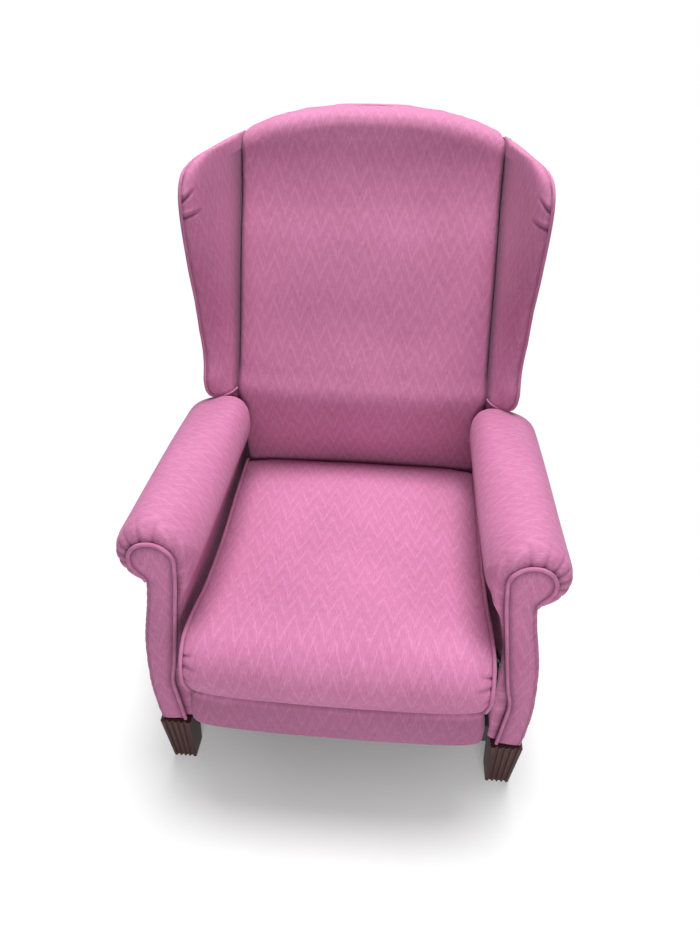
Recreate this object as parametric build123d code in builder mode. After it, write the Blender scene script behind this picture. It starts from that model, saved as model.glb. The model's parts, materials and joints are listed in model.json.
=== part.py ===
from build123d import *
from math import cos, radians, sin, tan
import os

# A push-back wingback recliner. Millimetres, +Z up, the front faces -Y.
# The origin is on the floor, in the middle of the chair's width and depth.
# One side is drawn at +X and mirrored to -X. Points of side views are (y, z).

# ---------------------------------------------------------------- overall
overall_depth = 862
nose_crown = 9
nose_inset = 3
front_y = nose_crown - nose_inset - overall_depth / 2
touch_gap = 0.3
play = 0.1
timber = 24
plate = 4
screw_radius = 2.5
bolt_radius = 4
bolt_head = 5

# ---------------------------------------------------------------- seat
seat_half_width = 262
seat_edge_z = 412
seat_underside_z = 356
seat_depth = 572
seat_rear_y = front_y + seat_depth
seat_dip = 22
seat_crown = 40
pad_thickness = 60
side_tuck = 4
welt_radius = 4.5
spring_wires = 5
spring_bends = 7
spring_wire_radius = 1.8
frame_rail_height = 56

# The footrest hinge lies one pad thickness behind the front and below the top.
hinge_y = front_y + nose_inset + pad_thickness
hinge_z = seat_edge_z - pad_thickness
knuckle_radius = 6
hinge_leaf = 2.5
hinge_leaf_height = 34
hinge_half_length = 180
nose_core = 10

# ---------------------------------------------------------------- footrest
band_bottom_z = 196
tuck_z = 291
tuck_depth = 9
tuck_draw_in = 13
band_draw_in = 23
tuck_half_width = seat_half_width - tuck_draw_in
band_half_width = seat_half_width - band_draw_in
band_round = 14
board_thickness = 12
board_inset = 16
board_half_width = seat_half_width - board_inset
board_bottom_z = 206
bracket_flange = 26

# ---------------------------------------------------------------- arms
arm_setback = 73
arm_front_y = front_y + arm_setback
arm_front_thickness = 18
arm_gap = 17
arm_inner_x = seat_half_width + arm_gap
roll_out = 21
roll_x = arm_inner_x + roll_out
roll_z = 550
roll_radius = 68
roll_round = 30
roll_reach = 509
roll_rear_y = front_y + roll_reach
scroll_radius = 37
scroll_start = 6
scroll_end = 42
# Points of the front panel, out from the roll's centre line and up from the floor.
panel_neck = (16, 506)
panel_outer_mid = (33, 412)
panel_hip = (46, 335)
panel_outer_foot = (46, 128)
panel_waist = (8, 250)
panel_inner_foot = (0, 133)
roll_swell = (-64, 532)
arm_bulge_z = 395
arm_tuck_z = 472
arm_bottom_z = panel_outer_foot[1]
arm_reach = 738
arm_rear_y = front_y + arm_reach
arm_rear_top_z = 400
arm_wall = 28
frame_skin = 3
frame_x = arm_inner_x + frame_skin
frame_member = 42
rail_bottom_z = 145
rail_top_z = 215
front_rail_setback = 94
front_rail_y = front_y + front_rail_setback
front_rail_height = 46

# ---------------------------------------------------------------- legs
leg_top = 60
leg_foot = 46
leg_splay = 2
leg_edge = 2
leg_out = 20
front_leg_proud = 5
rear_leg_inset = 4
front_leg_x = roll_x + leg_out
front_leg_y = arm_front_y - front_leg_proud + leg_top / 2
rear_leg_y = arm_rear_y - rear_leg_inset - leg_top / 2
rear_leg_rake = 40
flute_radius = 3.4
flute_count = 4
leg_block = 30
leg_block_top_z = 205
glide_radius = 9
glide_height = 3

# ---------------------------------------------------------------- linkage
plate_gap = 1.2
strut_thickness = 3
strut_half_width = 10
pin_radius = 5
boss_radius = 14
pin_head_radius = 8
pin_head = 2.6
link_length = 115
link_lean = 45
pivot_z = 155
front_pivot_setback = 142
rear_pivot_setback = 425.8
front_pivot = (front_y + front_pivot_setback, pivot_z)
rear_pivot = (front_y + rear_pivot_setback, pivot_z)
front_strut_arm = (34.5, 140.3)
rear_strut_arm = (52.6, 63.1)
footrest_arm = (33.6, -5.0)
back_arm = (-39.9, -44.9)
front_slot = (-6.7, 15.7)
back_slot = (-10.0, 0.3)
slot_play = 0.4
recline_setback = 668
recline_z = 335
recline_pivot = (front_y + recline_setback, recline_z)
tube_radius = 9
tube_along = 45
base_plate_top_z = 196
seat_plate_height = 44

# ---------------------------------------------------------------- back
back_lean = 10
back_foot_setback = 700
back_rear_y = front_y + back_foot_setback
back_rear_z = 222
back_skin = 8
back_frame_depth = 30
back_member = 60
back_half_width = seat_half_width
back_step = 2
back_lower_half_width = back_half_width - back_step
back_shoulder_z = 1052
back_crown_z = 1104
back_cushion_bottom_z = 360
# Rows of the back cushion: share of its height, distance behind the front, and crown.
back_rows = ((0, 586, 4), (0.07, 584, 6), (0.196, 567, 20), (0.309, 560, 24), (0.384, 582, 24),
             (0.484, 618, 22), (0.595, 653, 22), (0.703, 690, 22), (0.796, 728, 22),
             (0.876, 752, 20), (0.946, 752, 20))
back_top_setback = 775
back_top_crown = 18
lumbar_share = 0.309
spacer = 22

# ---------------------------------------------------------------- wings
wing_bottom_z = 602
wing_top_z = 1045
wing_setback = 518
wing_front_y = front_y + wing_setback
wing_skin = 4
wing_board = 12
wing_board_inset = 22
wing_front_out = 44
wing_rear_out = 22
wing_low_out = 6
wing_front_x = back_half_width + wing_front_out
wing_rear_x = back_half_width + wing_rear_out
wing_rear_low_x = back_half_width + wing_low_out
wing_flare = 24
wing_reach = 812
wing_rear_y = front_y + wing_reach
wing_foot_round = 16
# The wing's front edge, back and up from its lower corner: hollow, brow and crown.
wing_hollow = (20, 111)
wing_hollow_end = (12, 222)
wing_brow = (0, 319)
wing_brow_end = (10, 373)
wing_crown_end = (90, 439)


def moved(base, arm):
    """The (y, z) point that lies at an arm (y, z) from a base point."""
    return (base[0] + arm[0], base[1] + arm[1])


def from_roll(point):
    """A front-view point given out from the roll's centre line."""
    return (roll_x + point[0], point[1])


def on_side(x):
    """The plane whose sketch axes are the chair's Y and Z, at this X."""
    return Plane(origin=(x, 0, 0), x_dir=(0, 1, 0), z_dir=(1, 0, 0))


def on_front(y):
    """The plane whose sketch axes are the chair's X and Z, seen from the front."""
    return Plane(origin=(0, y, 0), x_dir=(1, 0, 0), z_dir=(0, -1, 0))


def save(shape, label):
    shape.label = label
    export_step(shape, f"parts/{label}.step")


def save_pair(shape, label):
    """Writes the piece at +X and its mirror image at -X."""
    save(shape, f"{label}_right")
    save(shape.mirror(Plane.YZ), f"{label}_left")


os.makedirs("parts", exist_ok=True)

# The linkage stands in layers from the arm's inner face towards the middle.
base_plate_x = arm_inner_x - plate
link_x = base_plate_x - plate_gap - plate
seat_plate_x = link_x - plate_gap - plate
seat_frame_x = seat_plate_x - timber

link_arm = (link_length * sin(radians(link_lean)), link_length * cos(radians(link_lean)))
hinge = (hinge_y, hinge_z)
front_seat_pivot = moved(front_pivot, link_arm)
rear_seat_pivot = moved(rear_pivot, link_arm)
front_strut_pivot = moved(front_pivot, front_strut_arm)
rear_strut_pivot = moved(rear_pivot, rear_strut_arm)
footrest_pin = moved(hinge, footrest_arm)
back_pin = moved(recline_pivot, back_arm)


# ================================================================ arms
def scroll_curves():
    """Inner edge, scroll and neck of the arm's front, seen from the front."""
    start = (
        roll_x - scroll_radius * cos(radians(scroll_start)),
        roll_z - scroll_radius * sin(radians(scroll_start)),
    )
    end = (
        roll_x + scroll_radius * cos(radians(scroll_end)),
        roll_z - scroll_radius * sin(radians(scroll_end)),
    )
    down = (sin(radians(scroll_start)), -cos(radians(scroll_start)))
    post = TangentArc(start, from_roll(panel_waist), tangent=down)
    TangentArc(post @ 1, from_roll(panel_inner_foot), tangent=post % 1)
    scroll = ThreePointArc(start, (roll_x, roll_z + scroll_radius), end)
    TangentArc(end, from_roll(panel_neck), tangent=scroll % 1)


def outer_post_curves():
    """Outer edge of the arm's post, from the neck down to the foot."""
    upper = ThreePointArc(from_roll(panel_neck), from_roll(panel_outer_mid), from_roll(panel_hip))
    TangentArc(upper @ 1, from_roll(panel_outer_foot), tangent=upper % 1)


# The piping runs up the inner edge, over the scroll and down to the neck.
with BuildPart() as arm_welt:
    with BuildLine() as welt_line:
        scroll_curves()
    welt_path = on_front(arm_front_y + welt_radius).from_local_coords(welt_line.wires()[0])
    with BuildSketch(Plane(origin=welt_path @ 0, z_dir=welt_path % 0)):
        Circle(welt_radius)
    sweep(path=welt_path)

# The front panel: a scroll over a waisted, flaring post.
with BuildPart() as arm_front:
    with BuildSketch(on_front(arm_front_y)):
        with BuildLine():
            scroll_curves()
            outer_post_curves()
            Line(from_roll(panel_outer_foot), from_roll(panel_inner_foot))
        make_face()
    extrude(amount=-arm_front_thickness)
    add(arm_welt.part, mode=Mode.SUBTRACT)

# Side views of the padded arm and, a wall inside it, of its timber frame.
pad_front_y = arm_front_y + arm_front_thickness
front_block_y = pad_front_y + leg_block / 2
arm_side_points = (
    (pad_front_y, arm_bottom_z),
    (pad_front_y, roll_z),
    (roll_rear_y - roll_round, roll_z),
    (roll_rear_y + arm_wall, roll_z - roll_radius),
    (arm_rear_y, arm_rear_top_z),
    (arm_rear_y, arm_bottom_z),
)
frame_side_points = (
    (pad_front_y, rail_top_z),
    (pad_front_y, roll_z - 2 * arm_wall),
    (roll_rear_y - roll_round, roll_z - 2 * arm_wall),
    (arm_rear_y - arm_wall, arm_rear_top_z - arm_wall),
    (arm_rear_y - arm_wall, rail_top_z),
)

with BuildPart() as arm_pad:
    # The padded post: its inner face bulges over the seat, its outer face follows the panel.
    with BuildSketch(on_front(pad_front_y)):
        with BuildLine():
            outer_post_curves()
            Polyline(
                from_roll(panel_outer_foot),
                (front_leg_x - leg_top / 2, arm_bottom_z),
                (arm_inner_x, rail_bottom_z),
                (arm_inner_x, arm_bulge_z),
                (seat_half_width, arm_tuck_z),
                from_roll(roll_swell),
                (roll_x - scroll_radius, roll_z),
                from_roll((panel_neck[0], roll_z)),
                from_roll(panel_neck),
            )
        make_face()
    extrude(amount=pad_front_y - arm_rear_y)
    with BuildSketch(on_side(0)):
        with BuildLine():
            Polyline(*arm_side_points, close=True)
        make_face()
    extrude(amount=roll_x + roll_radius, mode=Mode.INTERSECT)
    # Behind the roll the inner face is straight, clear of the back.
    with Locations((arm_inner_x, roll_rear_y, arm_bulge_z)):
        Box(roll_radius, overall_depth, overall_depth, align=(Align.MAX, Align.MIN, Align.CENTER),
            mode=Mode.SUBTRACT)
    # The roll, rounded at both ends.
    with BuildSketch(on_side(roll_x)):
        with BuildLine():
            roll_ends = Polyline(
                (arm_front_y + welt_radius, roll_z + scroll_radius),
                (arm_front_y + welt_radius, roll_z),
                (roll_rear_y, roll_z),
                (roll_rear_y, roll_z + scroll_radius),
            )
            crest = Line(
                (arm_front_y + welt_radius + roll_round, roll_z + roll_radius),
                (roll_rear_y - roll_round, roll_z + roll_radius),
            )
            TangentArc(crest @ 0, roll_ends @ 0, tangent=(-1, 0))
            TangentArc(crest @ 1, roll_ends @ 1, tangent=(1, 0))
        make_face()
    revolve(axis=Axis((roll_x, 0, roll_z), (0, 1, 0)))
    # The slot that holds the timber frame and its rail.
    with BuildSketch(on_side(frame_x - touch_gap)):
        with BuildLine():
            Polyline(*frame_side_points, close=True)
        make_face()
        offset(amount=touch_gap, kind=Kind.INTERSECTION)
        with BuildLine():
            Polyline(
                (pad_front_y, rail_bottom_z - touch_gap),
                (pad_front_y, rail_top_z + touch_gap),
                (arm_rear_y, rail_top_z + touch_gap),
                (arm_rear_y, rail_bottom_z - touch_gap),
                close=True,
            )
        make_face()
    extrude(amount=timber + 2 * touch_gap, mode=Mode.SUBTRACT)
    # Pockets for the blocks on top of the legs.
    with Locations(
        (frame_x + timber, front_block_y, arm_bottom_z),
        (frame_x + timber, rear_leg_y, arm_bottom_z),
    ):
        Box(leg_block, leg_block, leg_block_top_z - arm_bottom_z,
            align=(Align.MIN, Align.CENTER, Align.MIN), mode=Mode.SUBTRACT)
    add(arm_front.part, mode=Mode.SUBTRACT)
    add(arm_welt.part, mode=Mode.SUBTRACT)

with BuildPart() as arm_frame:
    with BuildSketch(on_side(frame_x)):
        with BuildLine():
            Polyline(*frame_side_points, close=True)
        outline = make_face()
        offset(outline, amount=-frame_member, kind=Kind.INTERSECTION, mode=Mode.SUBTRACT)
        with Locations((roll_rear_y - roll_round, rail_top_z)):
            Rectangle(frame_member, roll_z - 2 * arm_wall - rail_top_z,
                      align=(Align.MAX, Align.MIN))
    extrude(amount=timber)

# Bolts through the side rails into the blocks on the legs.
with BuildPart() as leg_bolts:
    for bolt_y in (front_block_y, rear_leg_y):
        with BuildSketch(on_side(frame_x)):
            with Locations((bolt_y, rail_bottom_z + timber), (bolt_y, rail_top_z - timber)):
                Circle(bolt_radius)
        extrude(amount=timber + leg_block - bolt_head)
    mirror(about=Plane.YZ)

with BuildPart() as side_rail:
    with Locations((frame_x, pad_front_y + touch_gap, rail_bottom_z)):
        Box(timber, arm_rear_y - pad_front_y - 2 * touch_gap, rail_top_z - rail_bottom_z,
            align=(Align.MIN, Align.MIN, Align.MIN))
    add(leg_bolts.part, mode=Mode.SUBTRACT)

# ================================================================ legs
foot_x = front_leg_x - leg_splay


def tapered_leg(centre_y, block_y, rake, flutes):
    """A square tapered leg with flutes down its front and a bolting block on top."""
    with BuildPart() as leg:
        with BuildSketch(Plane.XY.offset(glide_height)):
            with Locations((foot_x, centre_y + rake)):
                foot = Rectangle(leg_foot, leg_foot)
            chamfer(foot.vertices(), leg_edge)
        with BuildSketch(Plane.XY.offset(arm_bottom_z)):
            with Locations((front_leg_x, centre_y)):
                shoulder = Rectangle(leg_top, leg_top)
            chamfer(shoulder.vertices(), leg_edge)
        loft(ruled=True)
        for index in range(flutes):
            step = (index + 1) / (flutes + 1) - 1 / 2
            low = Vector(foot_x + step * leg_foot, centre_y - leg_foot / 2, glide_height)
            high = Vector(front_leg_x + step * leg_top, centre_y - leg_top / 2, arm_bottom_z)
            along = (high - low).normalized()
            with BuildSketch(Plane(origin=low - along * leg_edge, z_dir=along)):
                Circle(flute_radius)
            extrude(amount=(high - low).length + 2 * leg_edge, mode=Mode.SUBTRACT)
        with Locations((frame_x + timber + touch_gap, block_y, arm_bottom_z)):
            Box(leg_block - 2 * touch_gap, leg_block - 2 * touch_gap,
                leg_block_top_z - arm_bottom_z - touch_gap,
                align=(Align.MIN, Align.CENTER, Align.MIN))
        add(leg_bolts.part, mode=Mode.SUBTRACT)
    return leg.part


front_leg = tapered_leg(front_leg_y, front_block_y, 0, flute_count)
rear_leg = tapered_leg(rear_leg_y, rear_leg_y, rear_leg_rake, 0)

with BuildPart() as floor_glides:
    with BuildSketch():
        for foot_y in (front_leg_y, rear_leg_y + rear_leg_rake):
            with Locations((foot_x, foot_y), (-foot_x, foot_y)):
                Circle(glide_radius)
    extrude(amount=glide_height)

# ================================================================ cross rails
with BuildPart() as front_cross_rail:
    with Locations((0, front_rail_y, rail_bottom_z)):
        Box(2 * arm_inner_x, timber, front_rail_height, align=(Align.CENTER, Align.MAX, Align.MIN))

with BuildPart() as rear_cross_rail:
    with Locations((0, arm_rear_y, rail_bottom_z)):
        Box(2 * arm_inner_x, timber, rail_top_z - rail_bottom_z,
            align=(Align.CENTER, Align.MAX, Align.MIN))

with BuildPart() as rear_rail_panel:
    with BuildSketch(on_front(arm_rear_y)):
        with Locations((0, arm_bottom_z)):
            RectangleRounded(2 * front_leg_x + leg_foot, rail_top_z - arm_bottom_z, back_skin / 2,
                             align=(Align.CENTER, Align.MIN))
    extrude(amount=-back_skin)


# ================================================================ linkage
def bosses(*points):
    """The outline that wraps round a boss at each point."""
    for point in points:
        with Locations(point):
            Circle(boss_radius)
    make_hull()


def holes(radius, *points):
    for point in points:
        with Locations(point):
            Circle(radius, mode=Mode.SUBTRACT)


def shoulder_rivet(point, inner_x, outer_thickness):
    """A rivet along X: head, shank, a collar between the plates and a flush outer end."""
    with BuildPart() as rivet:
        with BuildSketch(on_side(inner_x - play)):
            with Locations(point):
                Circle(pin_radius)
        extrude(amount=play + plate + plate_gap + outer_thickness)
        with BuildSketch(on_side(inner_x - play - pin_head)):
            with Locations(point):
                Circle(pin_head_radius)
        extrude(amount=pin_head)
        with BuildSketch(on_side(inner_x + plate + play)):
            with Locations(point):
                Circle(pin_head_radius)
        extrude(amount=plate_gap - 2 * play)
    return rivet.part


def rivets(*pieces):
    with BuildPart() as group:
        add(pieces)
        mirror(about=Plane.YZ)
    return group.part


with BuildPart() as base_plate:
    with BuildSketch(on_side(base_plate_x)):
        bosses(front_pivot, rear_pivot)
        with Locations(((front_pivot[0] + rear_pivot[0]) / 2, base_plate_top_z)):
            RectangleRounded(rear_pivot[0] - front_pivot[0], 2 * boss_radius, boss_radius / 2,
                             align=(Align.CENTER, Align.MAX))
        holes(pin_radius, front_pivot, rear_pivot)
    extrude(amount=plate)


def swing_link(pivot, seat_pivot, strut_pivot):
    """A three-hole plate: base pivot, seat pivot and strut pivot."""
    with BuildPart() as link:
        with BuildSketch(on_side(link_x)):
            bosses(pivot, seat_pivot, strut_pivot)
            holes(pin_radius + play, pivot, seat_pivot)
            holes(pin_radius, strut_pivot)
        extrude(amount=plate)
    return link.part


def slotted_strut(start, end, slot):
    """A flat bar with a pin hole at its start and a slot for the pin at its end."""
    reach = Vector(*end) - Vector(*start)
    along = reach.normalized()
    slot_start = Vector(*end) + along * slot[0]
    slot_end = Vector(*end) + along * slot[1]
    slot_middle = (slot_start + slot_end) / 2
    turn = along.get_signed_angle(Vector(1, 0, 0), Vector(0, 0, -1))
    with BuildPart() as strut:
        with BuildSketch(on_side(base_plate_x)):
            with Locations((start[0], start[1]), (slot_end.X, slot_end.Y)):
                Circle(strut_half_width)
            make_hull()
            with Locations((start[0], start[1])):
                Circle(pin_radius + play, mode=Mode.SUBTRACT)
            with Locations(Location((slot_middle.X, slot_middle.Y, 0), (0, 0, turn))):
                SlotCenterToCenter(slot[1] - slot[0], 2 * (pin_radius + slot_play),
                                   mode=Mode.SUBTRACT)
        extrude(amount=strut_thickness)
    return strut.part


def torque_tube(pivot):
    """The tube that makes the left and right links turn together."""
    with BuildPart() as tube:
        centre = moved(pivot, (tube_along * sin(radians(link_lean)),
                               tube_along * cos(radians(link_lean))))
        with BuildSketch(on_side(-link_x)):
            with Locations(centre):
                Circle(tube_radius)
                Circle(tube_radius - plate / 2, mode=Mode.SUBTRACT)
        extrude(amount=2 * link_x)
    return tube.part


front_link = swing_link(front_pivot, front_seat_pivot, front_strut_pivot)
rear_link = swing_link(rear_pivot, rear_seat_pivot, rear_strut_pivot)
footrest_strut = slotted_strut(front_strut_pivot, footrest_pin, front_slot)
back_strut = slotted_strut(rear_strut_pivot, back_pin, back_slot)

base_rivets = rivets(
    shoulder_rivet(front_pivot, link_x, plate),
    shoulder_rivet(rear_pivot, link_x, plate),
)
seat_rivets = rivets(
    shoulder_rivet(front_seat_pivot, seat_plate_x, plate),
    shoulder_rivet(rear_seat_pivot, seat_plate_x, plate),
    shoulder_rivet(recline_pivot, seat_plate_x, plate),
)
front_link_rivets = rivets(shoulder_rivet(front_strut_pivot, link_x, strut_thickness))
rear_link_rivets = rivets(shoulder_rivet(rear_strut_pivot, link_x, strut_thickness))
footrest_rivets = rivets(shoulder_rivet(footrest_pin, link_x, strut_thickness))
back_rivets = rivets(shoulder_rivet(back_pin, link_x, strut_thickness))

# ================================================================ seat
frame_top_z = seat_underside_z - 2 * spring_wire_radius - touch_gap
frame_bottom_z = frame_top_z - frame_rail_height
frame_front_y = hinge_y + knuckle_radius
frame_rear_y = seat_rear_y - 2 * timber

with BuildPart() as seat_frame:
    with BuildSketch(Plane.XY.offset(frame_bottom_z)):
        with Locations((0, frame_front_y)):
            Rectangle(2 * seat_plate_x, frame_rear_y - frame_front_y,
                      align=(Align.CENTER, Align.MIN))
        with Locations((0, frame_front_y + timber)):
            Rectangle(2 * seat_frame_x, frame_rear_y - frame_front_y - 2 * timber,
                      align=(Align.CENTER, Align.MIN), mode=Mode.SUBTRACT)
    extrude(amount=frame_rail_height)

with BuildPart() as seat_plate:
    bar_z = frame_bottom_z + seat_plate_height / 2
    with BuildSketch(on_side(seat_plate_x)):
        bosses((front_seat_pivot[0], bar_z), (rear_seat_pivot[0], bar_z))
        with BuildSketch(mode=Mode.PRIVATE) as front_lug:
            bosses(front_seat_pivot, (front_seat_pivot[0], bar_z))
        with BuildSketch(mode=Mode.PRIVATE) as rear_lug:
            bosses(rear_seat_pivot, (rear_seat_pivot[0], bar_z))
        with BuildSketch(mode=Mode.PRIVATE) as recline_lug:
            bosses((rear_seat_pivot[0], frame_top_z - boss_radius), recline_pivot)
        add(front_lug.sketch)
        add(rear_lug.sketch)
        add(recline_lug.sketch)
        holes(pin_radius, front_seat_pivot, rear_seat_pivot, recline_pivot)
    extrude(amount=plate)


def spring_line(x):
    """A sinuous wire from the front rail to the rear rail, half-circle bends side to side."""
    start_y = frame_front_y + timber / 2
    pitch = (frame_rear_y - timber / 2 - start_y) / spring_bends
    z = frame_top_z + spring_wire_radius
    with BuildPart() as wire:
        with BuildLine() as run:
            for bend in range(spring_bends):
                side = pitch / 2 if bend % 2 == 0 else -pitch / 2
                y = start_y + bend * pitch
                ThreePointArc((x, y, z), (x + side, y + pitch / 2, z), (x, y + pitch, z))
        path = run.wires()[0]
        with BuildSketch(Plane(origin=path @ 0, z_dir=path % 0)):
            Rectangle(2 * spring_wire_radius, 2 * spring_wire_radius)
        sweep(path=path)
    return wire.part


spring_pitch = 2 * seat_frame_x / (spring_wires + 1)
spring_xs = [(index + 1) * spring_pitch - seat_frame_x for index in range(spring_wires)]
with BuildPart() as seat_springs:
    add([spring_line(x) for x in spring_xs])


def seat_section(y, dip, crown):
    """A cross-section of the seat cushion: flat below, crowned above."""
    edge_z = seat_edge_z - dip
    tuck = side_tuck if dip > 0 else 0
    with BuildSketch(on_front(y)) as section:
        with BuildLine():
            ThreePointArc((-seat_half_width, edge_z), (0, edge_z + crown), (seat_half_width, edge_z))
            Polyline(
                (seat_half_width, edge_z),
                (seat_half_width - tuck, seat_underside_z),
                (-seat_half_width + tuck, seat_underside_z),
                (-seat_half_width, edge_z),
            )
        make_face()
    return section.sketch


seat_middle_y = (hinge_y + seat_rear_y) / 2
with BuildPart() as seat_cushion:
    loft(
        [
            seat_section(hinge_y, 0, nose_crown),
            seat_section((hinge_y + seat_middle_y) / 2, seat_dip - side_tuck, seat_crown),
            seat_section(seat_middle_y, seat_dip, seat_crown),
            seat_section((seat_middle_y + seat_rear_y) / 2, seat_dip / 2, seat_crown - side_tuck),
            seat_section(seat_rear_y, 0, nose_crown),
        ]
    )
    # Room for the barrel of the footrest hinge.
    with Locations((0, hinge_y, hinge_z)):
        Cylinder(nose_core, 2 * seat_half_width, rotation=(0, 90, 0), mode=Mode.SUBTRACT)

# The soft edge bends round the footrest hinge, from the seat's top to the footrest's face.
with BuildPart() as seat_nose:
    with BuildSketch(on_front(hinge_y)):
        with BuildLine():
            ThreePointArc(
                (-seat_half_width, seat_edge_z),
                (0, seat_edge_z + nose_crown),
                (seat_half_width, seat_edge_z),
            )
            Polyline(
                (seat_half_width, seat_edge_z),
                (seat_half_width, hinge_z + nose_core),
                (-seat_half_width, hinge_z + nose_core),
                (-seat_half_width, seat_edge_z),
            )
        make_face()
    revolve(axis=Axis((0, hinge_y, hinge_z), (1, 0, 0)), revolution_arc=90)

# ================================================================ footrest
board_rear_y = hinge_y - knuckle_radius
board_front_y = board_rear_y - board_thickness


def footrest_section(z, half_width, depth, crown):
    """A level section of the footrest pad: flat on the board, crowned in front."""
    front = board_front_y - depth
    with BuildSketch(Plane.XY.offset(z)) as section:
        with BuildLine():
            ThreePointArc((-half_width, front), (0, front - crown), (half_width, front))
            Polyline(
                (half_width, front),
                (half_width, board_front_y),
                (-half_width, board_front_y),
                (-half_width, front),
            )
        make_face()
    return section.sketch


face_depth = board_front_y - (hinge_y - pad_thickness)
with BuildPart() as footrest_pad:
    loft(
        [
            footrest_section(hinge_z, seat_half_width, face_depth, nose_crown),
            footrest_section((hinge_z + tuck_z) / 2, seat_half_width - side_tuck, face_depth,
                             nose_crown),
            footrest_section(tuck_z, tuck_half_width, face_depth - tuck_depth, nose_crown),
        ]
    )
    loft(
        [
            footrest_section(tuck_z, tuck_half_width, face_depth - tuck_depth, nose_crown),
            footrest_section((tuck_z + band_bottom_z) / 2, tuck_half_width, face_depth,
                             nose_crown),
            footrest_section(band_bottom_z + band_round, band_half_width + side_tuck, face_depth,
                             nose_crown),
            footrest_section(band_bottom_z, band_half_width, face_depth - band_round,
                             nose_crown),
        ]
    )

with BuildPart() as footrest_board:
    with BuildSketch(on_front(board_rear_y)):
        with Locations((0, hinge_z - knuckle_radius)):
            RectangleRounded(2 * board_half_width, hinge_z - knuckle_radius - board_bottom_z,
                             knuckle_radius, align=(Align.CENTER, Align.MAX))
    extrude(amount=board_thickness)

# Two leaves and a barrel in three knuckles.
knuckle_length = 2 * hinge_half_length / 3
with BuildPart() as hinge_seat_leaf:
    with Locations((0, frame_front_y, hinge_z)):
        Box(2 * hinge_half_length, hinge_leaf, hinge_leaf_height,
            align=(Align.CENTER, Align.MAX, Align.MAX))
    with BuildSketch(on_side(-hinge_half_length)):
        with Locations(hinge):
            Circle(knuckle_radius)
    extrude(amount=knuckle_length)
    with BuildSketch(on_side(hinge_half_length - knuckle_length)):
        with Locations(hinge):
            Circle(knuckle_radius)
    extrude(amount=knuckle_length)
    with Locations((0, hinge_y, hinge_z)):
        Cylinder(pin_radius - plate / 2, knuckle_length, rotation=(0, 90, 0))
    with Locations((0, hinge_y, hinge_z)):
        Box(knuckle_length, 3 * knuckle_radius, 3 * knuckle_radius, mode=Mode.SUBTRACT)
    with Locations((0, hinge_y, hinge_z)):
        Cylinder(knuckle_radius / 2, knuckle_length, rotation=(0, 90, 0))

with BuildPart() as hinge_board_leaf:
    with Locations((0, board_rear_y, hinge_z - knuckle_radius)):
        Box(knuckle_length - 2 * play, hinge_leaf, hinge_leaf_height - knuckle_radius,
            align=(Align.CENTER, Align.MIN, Align.MAX))
    with BuildSketch(on_side(-knuckle_length / 2 + play)):
        with Locations(hinge):
            Circle(knuckle_radius)
        with Locations((board_rear_y, hinge_z - knuckle_radius)):
            Rectangle(hinge_leaf, knuckle_radius, align=(Align.MIN, Align.MIN))
        with Locations(hinge):
            Circle(knuckle_radius / 2 + play, mode=Mode.SUBTRACT)
    extrude(amount=knuckle_length - 2 * play)

# The bracket: an arm for the strut's pin and a flange behind the board's edge.
with BuildPart() as footrest_bracket:
    with BuildSketch(on_side(link_x)):
        bosses(footrest_pin, (board_rear_y + boss_radius, hinge_z - 2 * boss_radius))
        with Locations((board_rear_y, hinge_z - boss_radius / 2)):
            Rectangle(2 * boss_radius, 4 * boss_radius, align=(Align.MIN, Align.MAX))
        holes(pin_radius, footrest_pin)
    extrude(amount=plate)
    with Locations((board_half_width - bracket_flange, board_rear_y, hinge_z - boss_radius / 2)):
        Box(link_x + plate - board_half_width + bracket_flange, plate, 4 * boss_radius,
            align=(Align.MIN, Align.MIN, Align.MAX))

# ================================================================ back
lean = radians(back_lean)
back_plane = Plane(
    origin=(0, back_rear_y, back_rear_z),
    x_dir=(1, 0, 0),
    z_dir=(0, -cos(lean), sin(lean)),
)


def up_back(z):
    """Distance up the leaning back plane of a height above the floor."""
    return (z - back_rear_z) / cos(lean)


def frame_face_y(z):
    """Front of the back's frame at this height."""
    return back_rear_y + (z - back_rear_z) * tan(lean) - (back_skin + back_frame_depth) / cos(lean)


def arched_curves(half_width, step_half_width, lower_half_width, step_z):
    """The back from behind: an arched top, and sides that step in lower down."""
    ThreePointArc(
        (-half_width, up_back(back_shoulder_z)),
        (0, up_back(back_crown_z)),
        (half_width, up_back(back_shoulder_z)),
    )
    Polyline(
        (half_width, up_back(back_shoulder_z)),
        (step_half_width, up_back(step_z)),
        (lower_half_width, up_back(step_z)),
        (lower_half_width, 0),
        (-lower_half_width, 0),
        (-lower_half_width, up_back(step_z)),
        (-step_half_width, up_back(step_z)),
        (-half_width, up_back(back_shoulder_z)),
    )


with BuildPart() as outside_back:
    with BuildSketch(back_plane):
        with BuildLine():
            arched_curves(wing_rear_x, wing_rear_low_x, back_lower_half_width, wing_bottom_z)
        make_face()
    extrude(amount=back_skin)

window_width = back_lower_half_width - back_member
lumbar_z = back_cushion_bottom_z + lumbar_share * (back_crown_z - back_cushion_bottom_z)
with BuildPart() as back_frame:
    with BuildSketch(back_plane.offset(back_skin)):
        with BuildLine():
            arched_curves(back_half_width, back_half_width, back_lower_half_width,
                          back_cushion_bottom_z)
        make_face()
        for low_z, high_z in (
            (back_rear_z + back_member / 2, back_cushion_bottom_z),
            (back_cushion_bottom_z + back_member, lumbar_z),
            (lumbar_z + back_member, back_shoulder_z - 2 * back_member),
        ):
            with Locations((0, up_back(low_z))):
                RectangleRounded(2 * window_width, up_back(high_z) - up_back(low_z), back_skin,
                                 align=(Align.CENTER, Align.MIN), mode=Mode.SUBTRACT)
    extrude(amount=back_frame_depth)


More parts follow.
